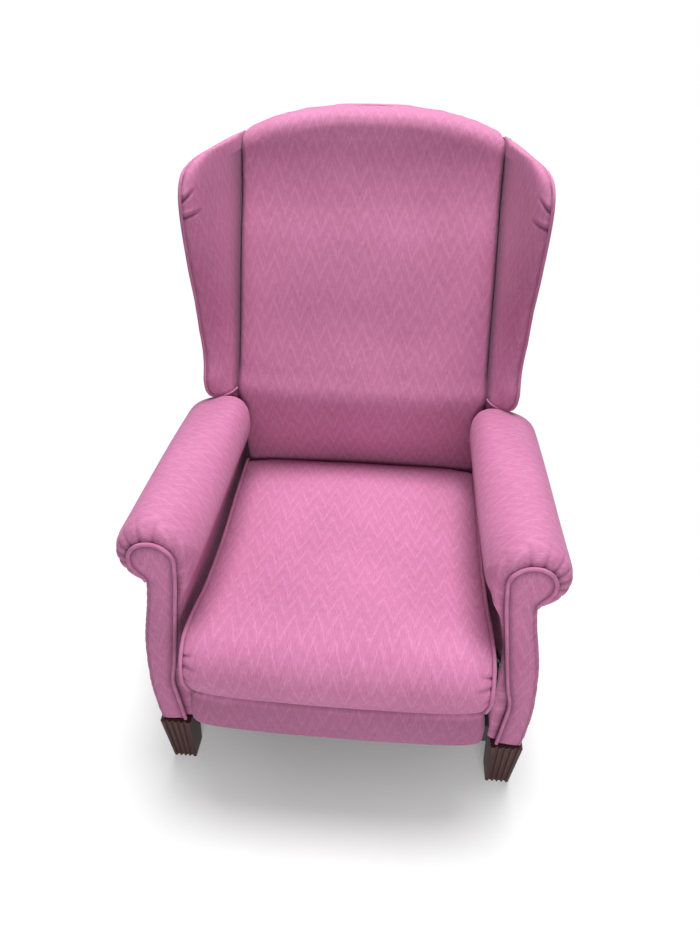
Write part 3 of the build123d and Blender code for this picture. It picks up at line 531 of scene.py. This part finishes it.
def seat_pad():
    """The long pad over seat, nose and footrest, with its tuck, band, corner darts and piping."""
    n, m = len(seat_edge), 81
    t = np.linspace(-1, 1, m)
    length = np.r_[0, np.cumsum(np.linalg.norm(np.diff(seat_edge, axis=0), axis=1))]
    tuck = length[np.argmin(abs(seat_edge[:, 1] - TUCK_Z) + (seat_edge[:, 0] > -0.4))]
    # Crown over the sides: full in the middle of the seat, slight at the nose and on the band.
    crown = np.interp(length, [0, 0.07, 0.16, 0.32, 0.46, 0.53, 0.58, 0.64, tuck, tuck + 0.03, length[-1]],
                      [0.010, 0.026, 0.038, 0.040, 0.026, 0.016, 0.012, 0.010, 0.004, 0.008, 0.006])
    half = np.interp(length, [0, 0.55, 0.62, tuck, tuck + 0.02, tuck + 0.075, length[-1]],
                     [SEAT_HALF, SEAT_HALF, SEAT_HALF - 0.001, 0.256, 0.261, 0.262, 0.255])
    tangent = np.gradient(seat_edge, axis=0)
    tangent /= np.linalg.norm(tangent, axis=1, keepdims=True)
    normal = np.stack([tangent[:, 1], -tangent[:, 0]], axis=1)
    outer = np.zeros((n, m, 3))
    inner = np.zeros((n, m, 3))
    rise = 1 - np.abs(t) ** 2.4
    for i in range(n):
        lift = crown[i] * rise - 0.006 * np.abs(t) ** 14
        outer[i, :, 0] = t * half[i]
        outer[i, :, 1] = seat_edge[i, 0] + normal[i, 0] * lift
        outer[i, :, 2] = seat_edge[i, 1] + normal[i, 1] * lift
        inner[i, :, 0] = t * (half[i] - 0.006)
        inner[i, :, 1:] = seat_inner[i]
    obj = slab("seat_and_footrest_pad", outer, inner)
    remesh(obj, 0.0080, 2)
    edge = along(seat_edge, [1, 2])

    def pin(c):
        side = np.abs(c[:, 0]) > np.interp(edge(c), length, half) - 0.012
        under = (c[:, 2] < 0.362) & (c[:, 1] > -0.36)
        inside = (c[:, 1] > -0.386) & (c[:, 2] < 0.37)
        seam = np.abs(edge(c) - tuck) < 0.006
        return side | under | inside | seam
    puff(obj, 2.6, 0.010, pin)
    subdivide(obj)
    c = coords(obj)
    nrm = vertex_normals(obj)
    d = edge(c)
    out = nrm[:, 1] * np.interp(d, length, normal[:, 0]) + nrm[:, 2] * np.interp(d, length, normal[:, 1])
    out = out > 0.35
    # The sewn tuck between the long pad and the lower band.
    bow = 0.004 * np.abs(c[:, 0] / 0.25) ** 2
    groove = np.exp(-((d - tuck + bow) / 0.0045) ** 2) * 0.011
    # A dart at each corner of the crest, with short creases fanning below it.
    x = np.abs(c[:, 0])
    inward = np.interp(d, length, half) - x
    fold = np.zeros(len(c))
    for start, slope, depth, reach in ((0.562, 0.10, 0.0050, 0.034), (0.579, 0.42, 0.0034, 0.046),
                                       (0.606, 0.55, 0.0026, 0.040)):
        across = (d - start) - slope * inward + 0.25 * inward ** 2 / reach
        fold += depth * np.exp(-(across / 0.0034) ** 2) * ease((reach - inward) / reach)
    groove += fold
    c -= nrm * (groove * out)[:, None]
    set_coords(obj, c)
    # Painted shade in the tuck, the corner darts and along both sides against the arms.
    shade = np.clip((groove - fold) / 0.010, 0, 1) * 0.9 + np.clip(fold / 0.0050, 0, 1) * 0.7
    shade += 0.8 * np.exp(-(inward / 0.006) ** 2)
    # Painted shade darkens the lower band most, and the front below the crest a little.
    shade += 0.42 * ease((d - tuck - 0.002) / 0.012) + 0.12 * ease((d - 0.60) / 0.10) * (d < tuck)
    soft(obj, None, lambda p: np.stack([p[:, 0], -edge(p)], axis=1),
         ("seat_cushion", "seat_nose", "footrest_pad"), painted_shade=np.clip(shade, 0, 1))
    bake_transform(obj)
    # Piping down both sides, ending just above the tuck.
    for side, label in ((1, "right"), (-1, "left")):
        stop = np.searchsorted(length, tuck - 0.012)
        path = np.zeros((stop, 3))
        path[:, 0] = np.interp(length[:stop], length, half) - 0.0035
        path[:, 1:] = seat_edge[:stop] - 0.0030 * normal[:stop]
        w = tube("seat_welt_" + label, mirror_x(even(path, 160), side), 0.0033)
        soft(w, None, lambda p: np.stack([p[:, 0] * 3, -edge(p)], axis=1))
        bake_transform(w)


# ------------------------------------------------------------------ back
def back_top(x):
    """Height of the back's crest."""
    return np.interp(np.abs(x), [0, 0.063, 0.140, 0.205, 0.262], [1.110, 1.109, 1.100, 1.085, 1.062])


def frame_arch(x):
    """Height of the timber arch inside the back."""
    radius = (0.262 ** 2 + 0.052 ** 2) / (2 * 0.052)
    return 1.104 - radius + np.sqrt(radius ** 2 - x ** 2)


BACK_LEAN = math.radians(10)


def plane_y(z, depth):
    """The leaning back's plane at a height, a depth in front of its rear face."""
    return FRONT + 0.700 + (z - 0.222) * math.tan(BACK_LEAN) - depth / math.cos(BACK_LEAN)


back_side = np.array([(0.161, 0.360), (0.159, 0.412), (0.143, 0.506), (0.135, 0.590), (0.157, 0.646),
                      (0.193, 0.720), (0.228, 0.803), (0.265, 0.883), (0.303, 0.952), (0.325, 1.012),
                      (0.334, 1.064), (0.342, 1.12)])


def behind_arms(z):
    """How much wider each side of the back pad is behind the arms' rolls."""
    return np.interp(z, [0.505, 0.535, 0.600, 0.630], [0.0, 0.013, 0.013, 0.0])


def back_pad():
    """The back's padded face, which rolls over the top of the frame."""
    side = smooth_path(back_side, 400)
    m, front_n, round_n, roof_n = 81, 110, 12, 12
    t = np.linspace(-1, 1, m)
    n = front_n + round_n + roof_n
    outer = np.zeros((n, m, 3))
    inner = np.zeros((n, m, 3))
    for j in range(m):
        x = t[j] * SEAT_HALF
        top = back_top(x)
        roll = 0.036
        z = np.linspace(0.362, top - roll, front_n)
        crown = np.interp(z, [0.36, 0.42, 0.50, 0.59, 0.70, 0.95, 1.05, 1.11],
                          [0.004, 0.010, 0.024, 0.028, 0.026, 0.024, 0.020, 0.016])
        y = np.interp(z, side[:, 1], side[:, 0]) - crown * (1 - abs(t[j]) ** 2.4) + 0.006 * abs(t[j]) ** 14
        a = np.linspace(0, math.pi / 2, round_n + 1)[1:]
        y_round = y[-1] + 0.034 * (1 - np.cos(a))
        z_round = z[-1] + roll * np.sin(a)
        y_roof = np.linspace(y_round[-1], plane_y(top, 0.001), roof_n + 1)[1:]
        outer[:, j, 0] = x + np.r_[behind_arms(z) * t[j], np.zeros(round_n + roof_n)]
        outer[:, j, 1] = np.r_[y, y_round, y_roof]
        outer[:, j, 2] = np.r_[z, z_round, np.full(roof_n, top)]
        low = frame_arch(x) - 0.012
        zi = np.linspace(0.362, low, front_n + round_n)
        yi = plane_y(zi, 0.0385)
        inner[:, j, 0] = x + np.r_[behind_arms(zi) * t[j], np.zeros(roof_n)]
        inner[:, j, 1] = np.r_[yi, np.linspace(yi[-1], plane_y(low, 0.001), roof_n + 1)[1:]]
        inner[:, j, 2] = np.r_[zi, np.full(roof_n, low)]
    obj = slab("back_pad", outer, inner)
    remesh(obj, 0.0082, 2)
    subdivide(obj)
    path = np.vstack([side[side[:, 1] < 1.03] - [0.02, 0], [(0.305, 1.06), (0.318, 1.085), (0.335, 1.103),
                                                             (0.36, 1.112), (0.44, 1.114)]])
    edge = along(path, [1, 2])
    c = coords(obj)
    # Painted shade along both sides, where the back pad meets the wings.
    shade = 0.9 * np.exp(-((SEAT_HALF - np.abs(c[:, 0])) / 0.006) ** 2) * (c[:, 2] < 1.05)
    soft(obj, "back", lambda p: np.stack([p[:, 0], edge(p)], axis=1), ("back_cushion",), painted_shade=shade)


def outside_back():
    """The flat upholstered panel on the back's rear face."""
    n, m = 90, 61
    z_low = 0.226
    outer = np.zeros((n, m, 3))
    inner = np.zeros((n, m, 3))
    for i, s in enumerate(np.linspace(0, 1, n)):
        for j, t in enumerate(np.linspace(-1, 1, m)):
            z = z_low + s * (1.1 - z_low)
            half = np.interp(z, [z_low, 0.6, 0.605, 1.052, 1.11], [0.259, 0.259, 0.266, 0.283, 0.283])
            x = t * half
            top = frame_arch(np.clip(x, -0.262, 0.262)) + 0.001
            z = z_low + s * (top - z_low)
            dome = 0.004 * (1 - abs(t) ** 6) * (1 - abs(2 * s - 1) ** 6) - 0.001
            outer[i, j] = (x, plane_y(z, -dome), z)
            inner[i, j] = (x, plane_y(z, 0.0078), z)
    obj = slab("outside_back_panel", outer, inner)
    remesh(obj, 0.004, 2)
    subdivide(obj)
    soft(obj, "back", lambda p: np.stack([p[:, 0], p[:, 2]], axis=1), ("outside_back",))


# ------------------------------------------------------------------ wings
def wing_face(y, z):
    """X of the wing's flat outer side, which stands out a little towards the bottom."""
    swell = np.interp(z, [0.594, 0.598, 0.606, 0.618, 0.64, 0.74, 0.81, 0.90, 1.0],
                      [0.000, 0.001, 0.008, 0.012, 0.013, 0.013, 0.006, 0.002, 0.0])
    return 0.306 - 0.1565 * (y - (FRONT + 0.518)) + 0.0542 * (z - 0.602) + swell


wing_edge = smooth_path([(0.093, 0.640), (0.106, 0.668), (0.113, 0.700), (0.113, 0.745), (0.103, 0.812),
                         (0.095, 0.872), (0.093, 0.925), (0.096, 0.975), (0.106, 1.008), (0.128, 1.030),
                         (0.163, 1.040)], 80)
wing_edge = np.vstack([smooth_path([(0.101, 0.598), (0.093, 0.606), (0.091, 0.622), (0.093, 0.640)], 8)[:-1],
                       wing_edge])


WING_FOOT = 0.598                   # height of the wing's lower edge
SEAM_X = 0.2634                     # where the wing meets the back pad


def wing(side, label):
    """One wing: flat outer side, padded inner face that curves in to the back, pleats and piping."""
    front = even(wing_edge, 90)
    n, m = 90, 60
    outer = np.zeros((n, m, 3))
    inner = np.zeros((n, m, 3))
    seam_path = smooth_path(back_side, 300)

    def sweep(fy, z, share):
        """The padded face's x and y, from the piping (0) to the seam beside the cushion (1)."""
        seam_y = float(np.interp(z, seam_path[:, 1], seam_path[:, 0])) + 0.012
        s = share ** 0.5
        x0 = wing_face(fy, z)
        line = ((x0 - 0.002, fy), (x0 - 0.038, fy - 0.002), (SEAM_X, seam_y))
        share_of = ((1 - s) ** 2, 2 * s * (1 - s), s * s)
        return *(sum(w * q[k] for w, q in zip(share_of, line)) for k in (0, 1)), seam_y

    for i, part in enumerate(np.linspace(0, 1, n)):
        fy, fz = front[i]
        z_rear = WING_FOOT + part * (1.045 - WING_FOOT)
        y_rear = plane_y(z_rear, 0.0085)
        for j, a in enumerate(np.linspace(0, 1, m) ** 1.3):
            y = fy + (y_rear - fy) * a
            z = fz + (z_rear - fz) * ease(a * 1.4)
            xo = wing_face(y, z)
            # Behind the arm's roll the foot hangs lower.
            z -= 0.026 * ease((y - 0.110) / 0.022) * (1 - ease(part / 0.22))
            seam_y = sweep(fy, z, 1.0)[2]
            share = min(1.0, (y - fy) / max(seam_y - fy, 0.03))
            bx, by, seam_y = sweep(fy, z, share)
            if share >= 1.0:
                bx, by = SEAM_X, y
            outer[i, j] = (xo, y, z)
            inner[i, j] = (max(min(bx, xo - 0.001), SEAM_X - 0.0002), by, z)
    obj = slab("wing_" + label, mirror_x(outer, side), mirror_x(inner, side))
    remesh(obj, 0.0050, 3)
    subdivide(obj)
    c = coords(obj)
    # The padding rolls over the top, higher than the flat outer side.
    x = np.abs(c[:, 0])
    top = ease((c[:, 2] - 0.985) / 0.055) * ease((c[:, 1] - 0.105) / 0.090)
    c[:, 2] += 0.019 * top * np.sqrt(np.clip((wing_face(c[:, 1], c[:, 2]) - x) / 0.030, 0, 1))
    set_coords(obj, c)
    nrm = vertex_normals(obj)
    # Three gathered pleats run in from the piping below the upper front corner.
    edge_y = np.interp(c[:, 2], front[:70, 1], front[:70, 0])
    edge_x = wing_face(edge_y, c[:, 2])
    u = np.hypot(edge_x - x, c[:, 1] - edge_y)
    facing = (x < wing_face(c[:, 1], c[:, 2]) - 0.002) & (x > 0.2645)
    groove = np.zeros(len(c))
    for start, slope, depth, reach in ((0.961, 0.12, 0.0044, 0.056), (0.985, 0.48, 0.0044, 0.050),
                                       (1.003, 0.85, 0.0036, 0.040)):
        across = c[:, 2] - start - slope * u
        groove += depth * np.exp(-(across / 0.0026) ** 2) * ease((reach - u) / (reach * 0.8))
        groove -= 0.45 * depth * np.exp(-((across - 0.0075) / 0.0040) ** 2) * ease((reach - u) / reach)
    groove *= facing
    c -= nrm * groove[:, None]
    set_coords(obj, c)
    # Piping along the bottom of the padded face, up the front edge and back along the outer side.
    low = [sweep(front[0, 0], WING_FOOT + 0.002, k) for k in np.linspace(1, 0.02, 14)]
    foot = np.array([(q[0] + 0.001, q[1] + 0.001, WING_FOOT + 0.0015) for q in low])
    y, z = front[1:].T
    up = np.stack([wing_face(y, z) - 0.0025, y + 0.0012, z], axis=1)
    over = np.array([(0.20, 1.0405), (0.30, 1.0425), (0.38, 1.0435)])
    over = np.stack([wing_face(over[:, 0], over[:, 1]) - 0.002, over[:, 0], over[:, 1] - 0.001], axis=1)
    path = even(np.vstack([foot, up, over]), 280)
    # Painted shade in the pleats, beside the piping and along the seam with the back pad.
    shade = np.clip(groove / 0.004, 0, 1) * 0.75
    shade += 0.75 * near_line(np.stack([x, c[:, 1], c[:, 2]], axis=1), path[::2], 0.0065) * facing
    shade += 0.85 * np.exp(-((x - SEAM_X) / 0.006) ** 2) * (c[:, 2] < 1.035)

    def uv(p):
        px = np.abs(p[:, 0])
        ey = np.interp(p[:, 2], front[:70, 1], front[:70, 0])
        run = np.hypot(wing_face(ey, p[:, 2]) - px, p[:, 1] - ey)
        flat = px > wing_face(p[:, 1], p[:, 2]) - 0.003
        return np.stack([np.where(flat, -run, run), p[:, 2]], axis=1)
    soft(obj, "back", uv, ("wing_pad_" + label, "wing_outer_" + label), painted_shade=np.clip(shade, 0, 1))
    w = tube("wing_welt_" + label, mirror_x(path, side), 0.0031)
    run = along(path, [0, 1, 2])
    soft(w, "back", lambda p: np.stack([p[:, 0] * 3, run(np.abs(p))], axis=1))


# ------------------------------------------------------------------ arms
ROLL = (0.300, 0.550)               # centre of the scroll (x, z)
SCROLL_RADIUS = 0.037
ROLL_RADIUS = 0.068
PANEL_Y = FRONT + 0.0745            # plane of the scroll panel's face and its piping
roll_start_y = FRONT + 0.0775
roll_end_y = FRONT + 0.536


def roll_z(y):
    """Height of the roll's centre, which falls a little towards the rear."""
    return ROLL[1] - 0.021 * np.clip((y - roll_start_y) / (roll_end_y - roll_start_y), 0, 1.2)


post_outer = smooth_path([(0.316, 0.506), (0.324, 0.455), (0.333, 0.412), (0.341, 0.372), (0.346, 0.335),
                          (0.3515, 0.270), (0.3525, 0.215), (0.350, 0.165), (0.346, 0.128)], 60)
panel_inner = smooth_path([(0.300, 0.133), (0.3045, 0.19), (0.308, 0.250), (0.2985, 0.300), (0.288, 0.365),
                           (0.277, 0.440), (0.268, 0.500), (0.2632, 0.546)], 60)


def scroll_outline():
    """The line of the piping, up the inner edge and round the scroll."""
    a = np.radians(np.linspace(186, -42, 60))
    arc = np.stack([ROLL[0] + SCROLL_RADIUS * np.cos(a), ROLL[1] + SCROLL_RADIUS * np.sin(a)], axis=1)
    return np.vstack([panel_inner[:-1], arc, [(0.321, 0.5165), (0.3175, 0.511), (0.316, 0.506)]])


def arm(side, label):
    """One arm: post and roll as one pad, gathered round the scroll, with its front panel and piping."""
    n, m = 110, 120
    y0, y1 = FRONT + 0.0825, FRONT + 0.738
    rings = []
    for y in np.linspace(y0, y1, n):
        if y < roll_end_y - 0.012:
            top = float(roll_z(y)) - 0.012
        else:
            top = float(np.interp(y, [roll_end_y - 0.012, roll_end_y + 0.030, roll_end_y + 0.075, y1],
                                  [0.552, 0.545, 0.486, 0.400]))
        inner = np.array([(0.291, 0.129), (0.2790, 0.145), (0.2785, 0.30), (0.2785, 0.395), (0.264, 0.462),
                          (0.247, 0.496), (0.240, top)])
        if y > roll_end_y - 0.012:
            inner = np.array([(0.291, 0.129), (0.2797, 0.145), (0.2797, 0.30), (0.2797, 0.36),
                              (0.2797, 0.395), (0.2797, top - 0.02), (0.287, top)])
            inner[:, 1] = np.minimum(inner[:, 1], [1, 1, 1, 1, top - 0.03, 1, 1])
        outer = post_outer.copy()
        keep = outer[:, 1] < top - 0.004
        bulge = 0.004 * math.sin(math.pi * (y - y0) / (y1 - y0))
        outer[:, 0] += bulge * np.sin(np.clip((outer[:, 1] - 0.128) / 0.37, 0, 1) * math.pi)
        loop = np.vstack([inner, [(0.30, top + (0.004 if y < roll_end_y - 0.012 else 0.0))], outer[keep]])
        loop = even(np.vstack([loop, loop[:1]]), m + 1)[:-1]
        rings.append(np.stack([loop[:, 0], np.full(m, y), loop[:, 1]], axis=1))
    post = loops("post", mirror_x(np.array(rings), side))
    # The roll: a padded cylinder, gathered at its front end round the scroll.
    rings = []
    start = FRONT + 0.0765
    a = np.linspace(0, 2 * math.pi, 96, endpoint=False)
    for y in np.r_[start + 0.030 * (1 - np.cos(np.linspace(0, math.pi / 2, 12))),
                   np.linspace(start + 0.036, roll_end_y - 0.018, 46),
                   roll_end_y - 0.008 * (1 - np.sin(np.linspace(0, math.pi / 2, 12)))]:
        d = min(y - start, 0.030) / 0.030
        e = min(roll_end_y - y, 0.008) / 0.008
        r = 0.037 + 0.031 * math.sqrt(max(0.0, 1 - (1 - d) ** 2))
        r -= 0.008 * (1 - math.sqrt(max(0.0, 1 - (1 - e) ** 2)))
        # The inner shoulder fills out towards the rear, where it meets the wing and the back.
        rear = float(ease((y - start - 0.20) / 0.24))
        flat = 0.0020 * np.sin(3 * a + 9 * y) * d + 0.011 * rear * np.exp(-((a - 2.25) / 0.50) ** 2)
        rings.append(np.stack([ROLL[0] + (r + flat) * np.cos(a), np.full(96, y),
                               float(roll_z(y)) + (r + flat) * np.sin(a)], axis=1))
    rings = np.array(rings)
    roll = loops("roll", mirror_x(rings, side))
    obj = join("arm_" + label, post, roll)
    remesh(obj, 0.0058, 4, 0.6)
    subdivide(obj)
    c = coords(obj)
    nrm = vertex_normals(obj)
    ang = np.arctan2(c[:, 2] - roll_z(c[:, 1]), np.abs(c[:, 0]) - ROLL[0])
    rad = np.hypot(c[:, 2] - ROLL[1], np.abs(c[:, 0]) - ROLL[0])
    groove = np.zeros(len(c))
    for a0, depth, reach in ((-0.55, 0.0030, 0.040), (-0.20, 0.0030, 0.045), (0.12, 0.0030, 0.050),
                             (0.45, 0.0026, 0.045), (0.80, 0.0022, 0.040), (1.25, 0.0018, 0.035),
                             (1.75, 0.0018, 0.030)):
        fade = ease((start + reach - c[:, 1]) / reach)
        groove += depth * np.exp(-((ang - a0) * rad / 0.0032) ** 2) * fade * (rad > 0.036)
    c -= nrm * groove[:, None]
    set_coords(obj, c)
    section = np.vstack([[(0.2797, 0.12), (0.2797, 0.30), (0.2797, 0.395), (0.262, 0.472), (0.240, 0.52)],
                         [(ROLL[0] + ROLL_RADIUS * math.cos(b), ROLL[1] + ROLL_RADIUS * math.sin(b))
                          for b in np.radians(np.linspace(190, -60, 40))],
                         post_outer[6:]])
    run = along(section, [0, 1])

    def uv(p):
        flat_z = p[:, 2] + (ROLL[1] - roll_z(p[:, 1])) * ease((p[:, 2] - 0.40) / 0.08)
        return np.stack([p[:, 1], run(np.stack([np.abs(p[:, 0]), flat_z], axis=1))], axis=1)
    q = np.abs(c[:, [0, 2]])
    # Painted shade in the gathers round the scroll and beside the piping.
    shade = np.clip(groove / 0.004, 0, 1) * 0.6
    shade += 0.9 * near_line(q, scroll_outline(), 0.008) * (c[:, 1] < FRONT + 0.100)
    # Painted shade in the fold under the scroll, where the roll meets the outside of the post.
    neck = np.exp(-((q[:, 0] - 0.318) / 0.010) ** 2 - ((q[:, 1] - roll_z(c[:, 1]) + 0.052) / 0.010) ** 2)
    soft(obj, "base", uv, ("arm_pad_" + label,), painted_shade=np.clip(shade + 0.6 * neck, 0, 1))

    # The scroll panel on the front, slightly padded inside its piping.
    outline = np.vstack([scroll_outline(), post_outer, panel_inner[:1]])
    outline = even(outline, 260)[:-1]
    bm = bmesh.new()
    ring = [bm.verts.new((side * x, PANEL_Y, z)) for x, z in outline]
    bm.faces.new(ring)
    grown = bmesh.ops.extrude_face_region(bm, geom=bm.faces[:])
    rear = [v for v in grown["geom"] if isinstance(v, bmesh.types.BMVert)]
    bmesh.ops.translate(bm, verts=rear, vec=(0, 0.0165, 0))
    bmesh.ops.recalc_face_normals(bm, faces=bm.faces)
    mesh = bpy.data.meshes.new("front")
    bm.to_mesh(mesh)
    bm.free()
    panel = bpy.data.objects.new("arm_front_panel_" + label, mesh)
    scene.collection.objects.link(panel)
    remesh(panel, 0.0032, 1)
    c = coords(panel)
    q = np.abs(c[:, [0, 2]])
    from_edge = distance(q, outline)
    facing = c[:, 1] < FRONT + 0.080
    c[:, 1] -= facing * (0.0065 * np.sqrt(np.clip(from_edge / 0.022, 0, 1)) - 0.002)
    # A folded seam runs just inside the outer edge below the neck.
    outer_gap = distance(q, post_outer)
    c[:, 1] += facing * 0.0018 * np.exp(-((outer_gap - 0.006) / 0.0015) ** 2) * (q[:, 1] < 0.50)
    set_coords(panel, c)
    line = even(scroll_outline(), 200)
    # Painted shade beside the piping and along the folded seam.
    shade = 0.9 * near_line(q, line, 0.0085)
    shade += 0.55 * np.exp(-((outer_gap - 0.006) / 0.0018) ** 2) * (q[:, 1] < 0.50)
    soft(panel, "base", lambda p: np.stack([p[:, 0], p[:, 2]], axis=1), ("arm_front_" + label,),
         painted_shade=np.clip(shade * facing, 0, 1))
    path = np.stack([line[:, 0], np.full(200, PANEL_Y), line[:, 1]], axis=1)
    w = tube("arm_piping_" + label, mirror_x(path, side), 0.0034)
    run2 = along(line, [0, 1])
    soft(w, "base", lambda p: np.stack([p[:, 1] * 3, run2(np.abs(p[:, [0, 2]]))], axis=1),
         ("arm_welt_" + label,))


def rear_panel():
    """The upholstered panel on the rear rail."""
    n, m = 18, 90
    low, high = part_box("rear_rail_panel")
    outer = np.zeros((n, m, 3))
    inner = np.zeros((n, m, 3))
    for i, s in enumerate(np.linspace(0, 1, n)):
        for j, t in enumerate(np.linspace(-1, 1, m)):
            x = t * high[0]
            z = low[2] + s * (high[2] - low[2])
            dome = 0.003 * (1 - abs(t) ** 8) * (1 - abs(2 * s - 1) ** 4)
            outer[i, j] = (x, high[1] + dome - 0.002, z)
            inner[i, j] = (x, low[1] + 0.0003, z)
    obj = slab("rear_panel", outer, inner)
    remesh(obj, 0.004, 1)
    soft(obj, "base", lambda p: np.stack([p[:, 0], p[:, 2]], axis=1), ("rear_rail_panel",))


seat_pad()
back_pad()
outside_back()
for side, label in ((1, "right"), (-1, "left")):
    wing(side, label)
    arm(side, label)
rear_panel()

# ------------------------------------------------------------------ floor, light and camera
bm = bmesh.new()
bmesh.ops.create_circle(bm, cap_ends=True, segments=96, radius=7.0)
mesh = bpy.data.meshes.new("floor")
bm.to_mesh(mesh)
bm.free()
floor = bpy.data.objects.new("floor", mesh)
scene.collection.objects.link(floor)
g = Graph("pale_floor")
place = g.node("ShaderNodeNewGeometry").outputs["Position"]
spot = g.noise(place, 3.0, 2.0)
seen = g.node("ShaderNodeLightPath")
straight = g.math("MAXIMUM", seen.outputs["Is Camera Ray"], seen.outputs["Is Glossy Ray"])
straight = g.math("MAXIMUM", straight, seen.outputs["Is Transmission Ray"])
paint = g.ramp(spot, [(0.3, (0.84, 0.84, 0.84)), (0.7, (0.88, 0.88, 0.88))])
g.set(Base_Color=g.mix(straight, (0.34, 0.34, 0.34), paint), Roughness=0.9)
# The sweep brightens to plain white away from the chair.
far = g.node("ShaderNodeVectorMath", operation="LENGTH")
g.put(far.inputs[0], place)
fade = g.node("ShaderNodeMapRange", interpolation_type="SMOOTHSTEP")
g.put(fade.inputs["Value"], far.outputs["Value"])
fade.inputs["From Min"].default_value = 0.25
fade.inputs["From Max"].default_value = 1.0
glow = g.node("ShaderNodeEmission")
glow.inputs["Strength"].default_value = 1.0
blend = g.node("ShaderNodeMixShader")
g.put(blend.inputs[0], g.math("MULTIPLY", fade.outputs[0], straight))
g.put(blend.inputs[1], g.shader.outputs[0])
g.put(blend.inputs[2], glow.outputs[0])
g.put(g.tree.nodes["Material Output"].inputs["Surface"], blend.outputs[0])
floor.data.materials.append(g.mat)

world = bpy.data.worlds.new("studio")
scene.world = world
world.use_nodes = True
tree = world.node_tree
out = tree.nodes["World Output"]
fill_light = tree.nodes["Background"]
fill_light.inputs["Color"].default_value = (0.97, 0.98, 1.0, 1)
fill_light.inputs["Strength"].default_value = 0.16
white = tree.nodes.new("ShaderNodeBackground")
white.inputs["Color"].default_value = (1, 1, 1, 1)
white.inputs["Strength"].default_value = 1.0
path = tree.nodes.new("ShaderNodeLightPath")
either = tree.nodes.new("ShaderNodeMath")
either.operation = "MAXIMUM"
tree.links.new(path.outputs["Is Camera Ray"], either.inputs[0])
more = tree.nodes.new("ShaderNodeMath")
more.operation = "MAXIMUM"
tree.links.new(path.outputs["Is Glossy Ray"], more.inputs[0])
tree.links.new(path.outputs["Is Transmission Ray"], more.inputs[1])
tree.links.new(more.outputs[0], either.inputs[1])
choose = tree.nodes.new("ShaderNodeMixShader")
tree.links.new(either.outputs[0], choose.inputs[0])
tree.links.new(fill_light.outputs[0], choose.inputs[1])
tree.links.new(white.outputs[0], choose.inputs[2])
tree.links.new(choose.outputs[0], out.inputs["Surface"])


def area(name, place, target, size, power):
    """A round lamp aimed at a point; the camera doesn't see it."""
    lamp = bpy.data.lights.new(name, "AREA")
    lamp.shape = "DISK"
    lamp.size = size
    lamp.energy = power
    obj = bpy.data.objects.new(name, lamp)
    obj.location = place
    obj.rotation_euler = (Vector(target) - Vector(place)).to_track_quat("-Z", "Y").to_euler()
    obj.visible_camera = False
    scene.collection.objects.link(obj)


area("sky", (0.15, 0.70, 4.5), (0, 0, 0.4), 2.4, 305)
area("front", (0.2, -1.7, 0.7), (0, -0.2, 0.35), 1.2, 18)

cam = bpy.data.cameras.new("photo_camera")
cam.lens = 673.1 / 933 * 36
cam.sensor_width = 36
eye = bpy.data.objects.new("photo_camera", cam)
scene.collection.objects.link(eye)
roll = math.radians(0.5546)
fwd = Vector((-0.06335, 0.81331, -0.57838))
right = Vector((0.99698, 0.07766, 0))
up = Vector((-0.04492, 0.57663, 0.81577))
right2 = math.cos(roll) * right + math.sin(roll) * up
up2 = -math.sin(roll) * right + math.cos(roll) * up
m = Matrix((right2, up2, -fwd)).transposed().to_4x4()
m.translation = Vector((0.07605, -1.15218 + (FRONT + 0.468), 1.29725))
eye.matrix_world = m
scene.camera = eye

scene.view_settings.view_transform = "Standard"
